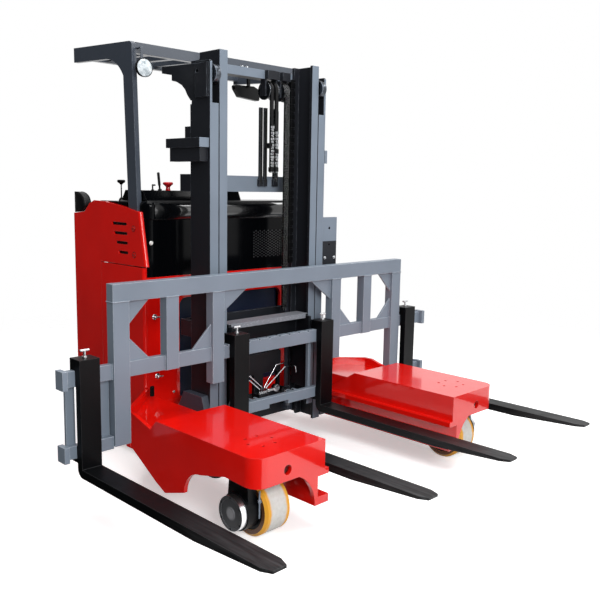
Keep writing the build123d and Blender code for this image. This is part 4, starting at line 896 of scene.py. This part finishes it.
class CoverOperator(bpy.types.Operator):
    """Vent rims and swollen band of the cover, slot louvres and the corners of the battery opening"""
    bl_idname = "forklift.cover"
    bl_label = "Cover and vents"

    def execute(self, context):
        pitch = context.scene.forklift_sizes.vent_pitch
        holes = [((0.165 + column * pitch, FRONT_Y + 0.0003, 1.095 + (row + 0.5 * (column % 2)) * pitch),
                  FORWARD) for column in range(14) for row in range(10)]
        fasteners("cover_vent_rims", holes, "chassis", "vent_abs", "black_plastic", radius=0.0036,
                  height=0.0014, sides=10)
        self.louvres()
        self.crown()
        corners, radius = bmesh.new(), 0.045
        for s in (-1, 1):
            x, z = s * (BATTERY_HIGH.x + 0.008), BATTERY_HIGH.z + 0.004
            curve = [(x + s * (a - radius), z + b - radius)
                     for a, b in on_circle(radius, [90 * k / 8 for k in range(9)])]
            prism(corners, "Y", [(x, z)] + curve, FRONT_Y, FRONT_Y + 0.020)
        keep("opening_corners", corners, "chassis", *ENAMEL)
        return {"FINISHED"}

    def louvres(self):
        """A dark plate at the bottom of each air slot of the side panels, painted shade for the depth of the
        slot, with slanted blades before it.
        """
        slot_shade_and_blades, half, pitch = bmesh.new(), 0.0072, 0.020
        for s in (-1, 1):
            back, seat, face = (s * (SIDE_X - depth) for depth in (0.0102, 0.0085, 0.0050))
            for z, start, end in SLOTS:
                outline = rounded((start + end) / 2, z, (end - start) / 2 - 0.0006, 0.0074, 0.0073)
                # Dark back plate: painted shade in the slot
                prism(slot_shade_and_blades, "X", outline, back, seat)
                for k in range(int((end - start) / pitch)):
                    y = start + 0.012 + pitch * k
                    blade = [(y, z - half), (y + 0.004, z - half), (y + 0.009, z + half),
                             (y + 0.005, z + half)]
                    prism(slot_shade_and_blades, "X", blade, seat - s * 0.0001, face)
        keep("air_slot_louvres", slot_shade_and_blades, "chassis", *ABS)

    def crown(self):
        """Swollen skin of the cover's raised band, blown out most along its middle."""
        half, low, high, back = 0.553, COVER_HIGH.z - 0.101, COVER_HIGH.z - 0.014, COVER_LOW.y + 0.0004
        across, up, bulge = 48, 12, 0.012
        bm = bmesh.new()
        rows = []
        for j in range(up + 1):
            part = j / up
            lean = bulge * max(0.0, part - 0.75) ** 1.5
            row = []
            for i in range(across + 1):
                x = half * (2 * i / across - 1)
                swell = bulge * math.sin(math.pi * part) ** 0.8 * (1 - abs(x / half) ** 8)
                row.append(bm.verts.new((x, back - swell + lean, low + (high - low) * part)))
            rows.append(row)
        for a, b in zip(rows, rows[1:]):
            for i in range(across):
                bm.faces.new((a[i], a[i + 1], b[i + 1], b[i]))
        rim = rows[0] + [row[-1] for row in rows[1:]] + rows[-1][-2::-1] + [row[0] for row in rows[-2:0:-1]]
        inner = [bm.verts.new(vert.co + Vector((0, 0.006, 0))) for vert in rim]
        skirt(bm, rim, inner)
        bm.faces.new(inner)
        keep("cover_crown", bm, "chassis", "polished_abs_crown", "gloss_black", smooth=30)


class LatchOperator(bpy.types.Operator):
    """Quarter-turn locks of the side panels, T latches of the front panels and the slotted handles"""
    bl_idname = "forklift.latches"
    bl_label = "Latches"

    def execute(self, context):
        locks = [(s, y, z) for s in (-1, 1) for y, z in ((0.575, 1.282), (0.572, 1.140))]
        cap = [(0, 0.0135), (0.0018, 0.0135), (0.0025, 0.0120), (0.0018, 0.0100), (0.0022, 0.0095),
               (0.0028, 0)]
        lathe("side_lock_rings", [((s * SIDE_X, y, z), (s, 0, 0), cap, 28) for s, y, z in locks],
              "chassis", *ENAMEL)
        slots, groove = bmesh.new(), [(0, 0.0136), (0, 0.0168), (0.0010, 0.0168), (0.0010, 0.0136)]
        for s, y, z in locks:
            turned(slots, (s * SIDE_X, y, z), (s, 0, 0), groove, 28)
            brick(slots, (s * (SIDE_X + 0.0022), y - 0.0080, z - 0.0022),
                  (s * (SIDE_X + 0.0031), y + 0.0080, z + 0.0022))
        keep("side_lock_slots", slots, "chassis", *ABS)
        rose = [(0, 0.016), (0.002, 0.016), (0.004, 0.0135), (0.005, 0.007), (0.014, 0.006), (0.014, 0)]
        bar = [(0, 0.0032), (0.002, 0.0048), (0.038, 0.0040), (0.040, 0.0025)]
        latches = []
        for s in (-1, 1):
            for x, z in ((0.555, 0.803), (0.540, 0.469)):
                latches += [((s * x, FRONT_Y, z), FORWARD, rose, 28),
                            ((s * (x + 0.010), FRONT_Y - 0.016, z), (-s, 0, 0), bar, 16)]
        lathe("panel_latches", latches, "chassis", *CHROME)
        handle, face, x = bmesh.new(), FRONT_Y - 0.003, 0.577
        for s in (-1, 1):
            prism(handle, "Y", rounded(s * x, 0.365, 0.014, 0.054, 0.010), face, FRONT_Y)
            prism(handle, "Y", rounded(s * x, 0.372, 0.007, 0.040, 0.0065), face - 0.007, face)
        keep("slot_handles", handle, "chassis", *ABS, bevel=0.0008)
        fasteners("handle_plugs", [((s * x, face, 0.322), FORWARD) for s in (-1, 1)], "chassis",
                  "white_nylon", "bare_steel", radius=0.0045, height=0.003, sides=16)
        return {"FINISHED"}


class WheelOperator(bpy.types.Operator):
    """Fins of the wheel motors, brake rods and hub caps"""
    bl_idname = "forklift.wheels"
    bl_label = "Wheel details"

    def execute(self, context):
        fin = [(0, 0.070), (0, 0.0835), (0.001, 0.0845), (0.004, 0.0845), (0.005, 0.0835), (0.005, 0.070)]
        rod = [(0, 0.0025), (0.004, 0.0040), (0.120, 0.0040), (0.124, 0.0025)]
        nut = [(0, 0.0055), (0.002, 0.009), (0.012, 0.009), (0.014, 0.0055)]
        cap = [(0, 0.030), (0.010, 0.030), (0.016, 0.026), (0.018, 0)]
        for side, s in SIDES:
            fins = [((s * (WHEEL_HIGH.x + 0.014 + 0.012 * k), WHEEL_Y, WHEEL_Z), (s, 0, 0), fin, 48)
                    for k in range(4)]
            lathe(f"motor_fins_{side}", fins, f"swivel_{side}", *BLACK)
            x, y = s * (WHEEL_HIGH.x + 0.004), WHEEL_Y - 0.088
            lathe(f"brake_rod_{side}", [((x, y, WHEEL_Z - 0.02), UP, rod, 16),
                                        ((x, y, WHEEL_Z + 0.05), UP, nut, 6)],
                  f"swivel_{side}", "satin_powder_coat", "bare_steel")
            lathe(f"hub_cap_{side}", [((s * HUB_X, WHEEL_Y, WHEEL_Z), (-s, 0, 0), cap, 32)],
                  f"wheel_{side}", *BLACK)
        return {"FINISHED"}


class LampOperator(bpy.types.Operator):
    """Round work lamp with fins, cells, facetted lens and bracket, and the glass of the mirror"""
    bl_idname = "forklift.lamp"
    bl_label = "Work lamp"

    def execute(self, context):
        x, front = (LAMP_LOW.x + LAMP_HIGH.x) / 2, LAMP_LOW.y
        r = (LAMP_HIGH.x - LAMP_LOW.x) / 2
        z = LAMP_LOW.z + r
        bm = bmesh.new()
        shell = [(0, r * 0.55), (0, r * 0.80), (0.006, r * 0.95), (0.022, r), (0.0275, r), (0.028, r * 0.96),
                 (0.022, r * 0.93), (0.020, 0)]
        turned(bm, (x, front + 0.028, z), FORWARD, shell, 44)
        for k in range(5):
            foot = z - 0.026 + k * 0.012
            brick(bm, (x - 0.028, front + 0.026, foot), (x + 0.028, front + 0.036, foot + 0.005))
        bricks("work_lamp_bracket", [
            ((x - 0.008, front + 0.028, z + 0.012), (x + 0.008, front + 0.034, LAMP_HIGH.z)),
            ((x - 0.008, front + 0.034, LAMP_HIGH.z - 0.006), (x + 0.008, LAMP_HIGH.y, LAMP_HIGH.z))],
            "chassis", "dark_powder_coat", "charcoal_paint", bevel=0.0008)
        keep("work_lamp_housing", bm, "chassis", *ABS, replaces=("work_lamp",))
        cell = [(-0.006, 0.003), (0, 0.007), (0.005, r * 0.255)]
        middles = on_circle(r * 0.54, range(0, 360, 60)) + [(0, 0)]
        lathe("work_lamp_cells", [
            *[((x + a, front + 0.012, z + b), FORWARD, cell, 18) for a, b in middles],
            ((x, front + 0.010, z), FORWARD, [(0, r * 0.92), (0.003, r * 0.92)], 44)],
            "chassis", *LAMP)
        lens = [(0, r * 0.925), (0.002, r * 0.925), (0.0026, r * 0.90), (0.0030, 0)]
        lathe("work_lamp_glass", [((x, front + 0.004, z), FORWARD, lens, 44)],
              "chassis", *LAMP)
        self.mirror()
        return {"FINISHED"}

    def mirror(self):
        """Silvered glass on the operator's side of the mirror's shell, and the joint of its stem."""
        glass, face = bmesh.new(), MIRROR_HIGH.y
        middle = Vector(((MIRROR_LOW.x + MIRROR_HIGH.x) / 2, 2.080))
        corners = ((0.110, 2.116), (0.264, 2.120), (0.315, 2.101), (0.309, 2.036), (0.151, 2.048),
                   (0.117, 2.091))
        outline = [tuple(middle + (Vector(corner) - middle) * 0.9) for corner in corners]
        prism(glass, "Y", outline, face - 0.0005, face + 0.001)
        keep("mirror_glass", glass, "chassis", "silvered_mirror", "mirror_glass")
        joint = [(0, 0.008), (0.004, 0.011), (0.014, 0.011), (0.018, 0.008)]
        lathe("mirror_joint", [((0.213, face - 0.038, 2.108), UP, joint, 20)],
              "chassis", *ABS)


class ControlOperator(bpy.types.Operator):
    """Emergency stop, levers, display, tiller wheel, partition, floor mat and hip pad"""
    bl_idname = "forklift.controls"
    bl_label = "Operator controls"

    def execute(self, context):
        middle = [(a + b) / 2 for a, b in zip(KNOB_LOW, KNOB_HIGH)]
        knob = [(0, 0.015), (0.010, 0.012), (0.020, 0.012), (0.028, 0.020), (0.034, 0.0285), (0.042, 0.029),
                (0.046, 0.025), (0.047, 0.015), (0.045, 0)]
        lathe("stop_button", [((middle[0], middle[1], DASH_TOP), UP, knob, 40)], "chassis", "red_abs",
              "red_plastic", replaces=("stop_knob",))
        self.levers()
        self.station()
        self.partition()
        self.mat(context.scene.forklift_sizes.mat_pitch)
        self.pad()
        return {"FINISHED"}

    def levers(self):
        """Small cranked lever, upright grip, and the knob on a chrome rod at the side."""
        x, y = -0.560, 0.790
        foot = [(0, 0.009), (0.004, 0.009), (0.005, 0.0042), (0.030, 0.0042), (0.033, 0.003)]
        crank = [(-0.004, 0.003), (-0.002, 0.0042), (0.016, 0.0042), (0.018, 0.003)]
        grip = [(0, 0.012), (0.006, 0.011), (0.008, 0.0055), (0.026, 0.0055), (0.028, 0.0075),
                (0.096, 0.0075), (0.100, 0.005)]
        knob = [(0, 0.006), (0.006, 0.010), (0.012, 0.020), (0.018, 0.0225), (0.024, 0.022), (0.027, 0.016),
                (0.027, 0)]
        boot = [(0, 0.016), (0.012, 0.013), (0.020, 0.006)]
        lathe("lever_grips", [((-0.480, 0.600, DASH_TOP), UP, foot, 16),
                              ((-0.480, 0.600, DASH_TOP + 0.0285), RIGHT, crank, 16),
                              ((-0.405, 0.640, DASH_TOP), (-0.10, 0, 1), grip, 20),
                              ((x, y, 1.516), UP, knob, 32), ((x, y, 1.425), UP, boot, 24)],
              "chassis", *ABS, replaces=("control_levers",))
        lathe("lever_rod", [((x, y, 1.440), UP, [(0, 0.004), (0.080, 0.004)], 14)],
              "chassis", *CHROME)

    def station(self):
        """Display and buttons on the hood's rear slope, and the tiller wheel behind it."""
        slope = Matrix.Translation((-0.300, 0.739, 1.4615)) @ Matrix.Rotation(math.radians(-54.4), 4, "X")
        bezel, glass = bmesh.new(), bmesh.new()
        prism(bezel, "Z", rounded(0.0, 0.0, 0.075, 0.027, 0.006), -0.004, 0.005)
        prism(bezel, "Z", rounded(0.19, 0.0, 0.060, 0.024, 0.006), -0.004, 0.003)
        prism(glass, "Z", rounded(0.0, 0.0, 0.064, 0.020, 0.003), 0.003, 0.0056)
        for bm in (bezel, glass):
            bmesh.ops.transform(bm, matrix=slope, verts=bm.verts)
        keep("display_bezel", bezel, "chassis", *ABS, bevel=0.001)
        keep("display_glass", glass, "chassis", "display_glass", "black_plastic")
        aim = slope.to_3x3() @ Vector(UP)
        spots = [(tuple(slope @ Vector((0.155 + 0.023 * k, 0.0, 0.003))), tuple(aim)) for k in range(4)]
        fasteners("console_buttons", spots, "chassis", "white_nylon", "black_plastic", radius=0.0065,
                  height=0.004, sides=20)
        x, y, z = hub = (-0.130, 0.835, 1.425)
        boss = [(0, 0.030), (0.016, 0.026), (0.030, 0.022), (0.034, 0.018), (0.034, 0)]
        loop = [(0.022 + b, 0.088 + a) for a, b in on_circle(0.009, range(0, 361, 45))]
        spokes = [((x + 0.015 * a, y + 0.015 * b, z + 0.022), (a, b, 0), [(0, 0.008), (0.070, 0.006)], 12)
                  for a, b in on_circle(1, (30, 150, 270))]
        knob = [(0, 0.006), (0.006, 0.006), (0.012, 0.015), (0.030, 0.017), (0.036, 0.012), (0.037, 0)]
        lathe("tiller_wheel", [(hub, UP, boss, 32), (hub, UP, loop, 48), *spokes,
                               ((x - 0.062, y + 0.062, z + 0.026), UP, knob, 24)],
              "chassis", *ABS)

    def partition(self):
        """Raised panels with screws, a storage tray and a grab rail on the wall before the operator."""
        wall, face = PARTITION_Y, PARTITION_Y + 0.0035
        panels = bmesh.new()
        for x, z, half_x, half_z in ((-0.285, 0.560, 0.270, 0.235), (0.285, 0.560, 0.270, 0.235),
                                     (0.0, 1.050, 0.555, 0.200)):
            prism(panels, "Y", rounded(x, z, half_x, half_z, 0.030), wall, face)
        keep("partition_panels", panels, "chassis", *ABS, bevel=0.0012)
        columns = (-0.530, -0.040, 0.040, 0.530)
        screws = [((x, face, z), BACK) for z, row in (
            (0.350, columns), (0.770, columns), (0.875, columns[::3]), (1.225, columns[::3])) for x in row]
        fasteners("partition_screws", screws, "chassis", *ZINC, radius=0.005,
                  height=0.003, sides=12)
        left, right, low, high, back, front = 0.080, 0.470, 0.965, 1.060, wall + 0.003, wall + 0.060
        bricks("storage_tray", [((left, back, low), (right, front, low + 0.005)),
                                ((left, front - 0.004, low), (right, front, high)),
                                ((left, back, low), (left + 0.004, front, high)),
                                ((right - 0.004, back, low), (right, front, high))],
               "chassis", *ABS, bevel=0.0008)
        bar = [(0, 0.010), (0.003, 0.0125), (0.357, 0.0125), (0.360, 0.010)]
        foot = [(0, 0.022), (0.005, 0.022), (0.007, 0.010), (0.050, 0.009)]
        lathe("grab_rail", [((-0.450, wall + 0.052, 1.160), RIGHT, bar, 20),
                            *[((x, wall + 0.002, 1.160), BACK, foot, 20) for x in (-0.430, -0.110)]],
              "chassis", *BLACK)

    def mat(self, pitch):
        """Ribbed rubber mat and the foot switch on the operator's floor."""
        half, y0, y1, inset, top = 0.560, 0.890, 1.165, 0.012, FLOOR_Z + 0.006
        rows = [[(side * (half - inset), y0 + inset + k * pitch, top) for side in (-1, 1)]
                for k in range(int((y1 - y0 - 0.02) / pitch))]
        slab = bmesh.new()
        prism(slab, "Z", rounded(0.0, (y0 + y1) / 2, half, (y1 - y0) / 2, 0.02), FLOOR_Z + 0.0003, top)
        prism(slab, "Z", rounded(-0.26, 1.02, 0.075, 0.10, 0.015), top, top + 0.010)
        keep("floor_mat", slab, "chassis", "black_rubber", "black_rubber", bevel=0.001)
        along("floor_mat_ribs", rows, "Mat ribs", {"Width": 0.010, "Height": 0.003}, "chassis",
              "black_rubber", "black_rubber")

    def pad(self):
        """Foam hip pad in a vinyl skin: a stuffed roll that swells between its piped seams."""
        mid = Vector((0, 1.150, 1.408))
        profile = [(1.2195, 1.349), (1.160, 1.353), (1.110, 1.357), (1.084, 1.368), (1.069, 1.388),
                   (1.068, 1.410), (1.078, 1.430), (1.098, 1.447), (1.130, 1.460), (1.175, 1.469),
                   (1.2195, 1.4705)]
        narrow, steps = 0.76, 12
        line = smooth_line([(PAD_HIGH.y - narrow * (PAD_HIGH.y - y), z) for y, z in profile], 4)
        skin = bmesh.new()
        rings = []
        for k in range(steps + 1):
            part = k / steps
            x = PAD_LOW.x + (PAD_HIGH.x - PAD_LOW.x) * part
            slack = abs(2 * part - 1) ** 2.6
            ring = []
            for i, (y, z) in enumerate(line):
                crease = 0.0012 * math.sin(i * 1.9 + 3 * part) * slack
                ring.append(skin.verts.new((x, y + (mid.y - y) * 0.10 * slack + crease,
                                            z + (mid.z - z) * 0.10 * slack)))
            rings.append(ring)
        for a, b in zip(rings, rings[1:]):
            skirt(skin, a, b)
        for ring, sign in ((rings[0], -1), (rings[-1], 1)):
            dome = ring
            for shrink, swell in ((0.90, 0.0015), (0.72, 0.0038), (0.45, 0.0055), (0.2, 0.0062)):
                inner = [skin.verts.new((vert.co.x + sign * swell, mid.y + (vert.co.y - mid.y) * shrink,
                                         mid.z + (vert.co.z - mid.z) * shrink)) for vert in ring]
                skirt(skin, dome, inner)
                dome = inner
            skin.faces.new(dome)
        bmesh.ops.remove_doubles(skin, verts=skin.verts, dist=0.0001)
        piece = keep("hip_pad_skin", skin, "chassis", *VINYL, smooth=60, replaces=("hip_pad",))
        for name, x in (("outer", PAD_LOW.x + 0.004), ("inner", PAD_HIGH.x - 0.004)):
            rope = [(x, y + (mid.y - y) * 0.03, z + (mid.z - z) * 0.03) for y, z in line]
            along(f"hip_pad_piping_{name}", [rope + rope[:1]], "Ribbed hose",
                  {"Radius": 0.0024, "Pitch": 0.0035}, "chassis", *VINYL)


class StageOperator(bpy.types.Operator):
    """Pale floor, soft studio light and the camera at the photograph's angle"""
    bl_idname = "forklift.stage"
    bl_label = "Studio"

    def execute(self, context):
        self.camera(context)
        self.floor(context)
        self.lights(context)
        context.scene.view_settings.view_transform = "Standard"
        return {"FINISHED"}

    def camera(self, context):
        """The camera that was fitted to the photograph."""
        yaw, pitch, roll = (math.radians(a) for a in (44.94, 8.54, 1.00))
        forward = Vector((math.sin(yaw) * math.cos(pitch), math.cos(yaw) * math.cos(pitch), -math.sin(pitch)))
        right = Vector((math.cos(yaw), -math.sin(yaw), 0))
        up = right.cross(forward)
        right, up = right * math.cos(roll) + up * math.sin(roll), up * math.cos(roll) - right * math.sin(roll)
        data = bpy.data.cameras.new("photo_camera")
        data.sensor_width, data.lens = 36, 45.22
        camera = bpy.data.objects.new("photo_camera", data)
        place, far = (-2.862, -2.952, 1.521), 200
        camera.matrix_world = Matrix([(right[i], up[i], -forward[i], place[i]) for i in range(3)]
                                     + [(0, 0, 0, 1)])
        data.clip_end = far
        context.scene.collection.objects.link(camera)
        context.scene.camera = camera

    def floor(self, context):
        """White to the camera and in gloss, mid grey in the light it throws back, fading out far away."""
        tree, coords = begin("matt_studio_floor")
        left = ramp(tree, part_of(tree, coords, "X"), -0.92, -1.05)
        seen, flagged = self.shown(tree, left)
        grain = blotch(tree, coords, 400, 0.0, 0.04)
        pale = blend_colour(tree, grain, linear("FEFEFE"), linear("F6F6F6"))
        pale = blend_colour(tree, seen, linear("A0A0A0"), pale)
        shader = add(tree, "ShaderNodeBsdfPrincipled", {
            "Base Color": blend_colour(tree, flagged, pale, linear("2A2A2A")), "Roughness": 0.9,
            "Specular IOR Level": 0.1, "Emission Color": (1, 1, 1, 1),
            "Emission Strength": calc(tree, "MULTIPLY", seen, 0.42)})
        away = add(tree, "ShaderNodeVectorMath", {0: coords}, operation="LENGTH").outputs["Value"]
        fade = ramp(tree, away, 2.6, 5.5, interpolation_type="SMOOTHSTEP")
        both = add(tree, "ShaderNodeMixShader", {0: fade, 1: shader.outputs[0],
                                                 2: add(tree, "ShaderNodeBsdfTransparent").outputs[0]})
        add(tree, "ShaderNodeOutputMaterial", {"Surface": both.outputs[0]})
        mesh = bpy.data.meshes.new("studio_floor")
        half = 8
        mesh.from_pydata([(-half, -half, 0), (half, -half, 0), (half, half, 0), (-half, half, 0)], [],
                         [(0, 1, 2, 3)])
        mesh.materials.append(bpy.data.materials["matt_studio_floor"])
        floor = bpy.data.objects.new("studio_floor", mesh)
        context.scene.collection.objects.link(floor)

    def shown(self, tree, dark):
        """1 for rays that show the white background, and 1 for gloss where a dark flag stands at the left."""
        path = add(tree, "ShaderNodeLightPath").outputs
        flagged = calc(tree, "MULTIPLY", path["Is Glossy Ray"], dark)
        gloss = calc(tree, "SUBTRACT", path["Is Glossy Ray"], flagged)
        seen = calc(tree, "MAXIMUM", path["Is Camera Ray"], path["Is Transmission Ray"])
        return calc(tree, "MAXIMUM", seen, gloss), flagged

    def lights(self, context):
        """A white room that is dark to the left in gloss, with softboxes before, beside and above."""
        world = bpy.data.worlds.new("studio")
        world.use_nodes = True
        tree = world.node_tree
        tree.nodes.clear()
        aim = part_of(tree, add(tree, "ShaderNodeTexCoord").outputs["Generated"], "X")
        left = ramp(tree, aim, 0.20, -0.25, 0.0, 0.97)
        diffuse = add(tree, "ShaderNodeLightPath").outputs["Is Diffuse Ray"]
        strength = calc(tree, "MAXIMUM", self.shown(tree, left)[0], calc(tree, "MULTIPLY", diffuse, 0.28))
        sky = add(tree, "ShaderNodeBackground", {"Color": (1, 1, 1, 1), "Strength": strength})
        add(tree, "ShaderNodeOutputWorld", {"Surface": sky.outputs[0]})
        context.scene.world = world
        middle = Vector((0, 0, 0.8))
        for name, place, size, power in (
                ("key", (-2.4, -5.2, 3.0), (2.4, 2.4), 250), ("front", (2.4, -5.0, 2.4), (2.5, 2.5), 35),
                ("strip", (3.4, -1.6, 4.4), (3.2, 0.7), 60), ("top", (-0.3, -0.3, 5.5), (4.5, 4.5), 240)):
            data = bpy.data.lights.new(name + "_softbox", "AREA")
            data.energy = power
            data.shape, (data.size, data.size_y) = "RECTANGLE", size
            lamp = bpy.data.objects.new(name + "_softbox", data)
            aim = Vector(place) - middle
            lamp.matrix_world = Matrix.Translation(place) @ aim.to_track_quat("Z", "Y").to_matrix().to_4x4()
            context.scene.collection.objects.link(lamp)


STEPS = (FinishOperator, WeldOperator, ChainOperator, MastOperator, FastenerOperator, CoverOperator,
         LatchOperator, WheelOperator, LampOperator, ControlOperator, StageOperator)


class ForkliftPanel(bpy.types.Panel):
    """Colours, sizes and the steps that dress the forklift"""
    bl_idname = "VIEW3D_PT_forklift"
    bl_label = "Forklift"
    bl_space_type = "VIEW_3D"
    bl_region_type = "UI"
    bl_category = "Forklift"

    def draw(self, context):
        for group in (context.scene.forklift_colours, context.scene.forklift_sizes):
            for name in group.__annotations__:
                self.layout.prop(group, name)
        for step in STEPS:
            self.layout.operator(step.bl_idname)


CLASSES = (ForkliftColours, ForkliftSizes, *STEPS, ForkliftPanel)


def register():
    for item in CLASSES:
        bpy.utils.register_class(item)
    bpy.types.Scene.forklift_colours = bpy.props.PointerProperty(type=ForkliftColours)
    bpy.types.Scene.forklift_sizes = bpy.props.PointerProperty(type=ForkliftSizes)


def unregister():
    del bpy.types.Scene.forklift_sizes
    del bpy.types.Scene.forklift_colours
    for item in reversed(CLASSES):
        bpy.utils.unregister_class(item)


def main():
    register()
    for make in (fastener_tree, weld_tree, chain_tree, hose_tree, mat_tree):
        make()
    for step in STEPS:
        group, name = step.bl_idname.split(".")
        getattr(getattr(bpy.ops, group), name)()


if __name__ == "__main__":
    main()
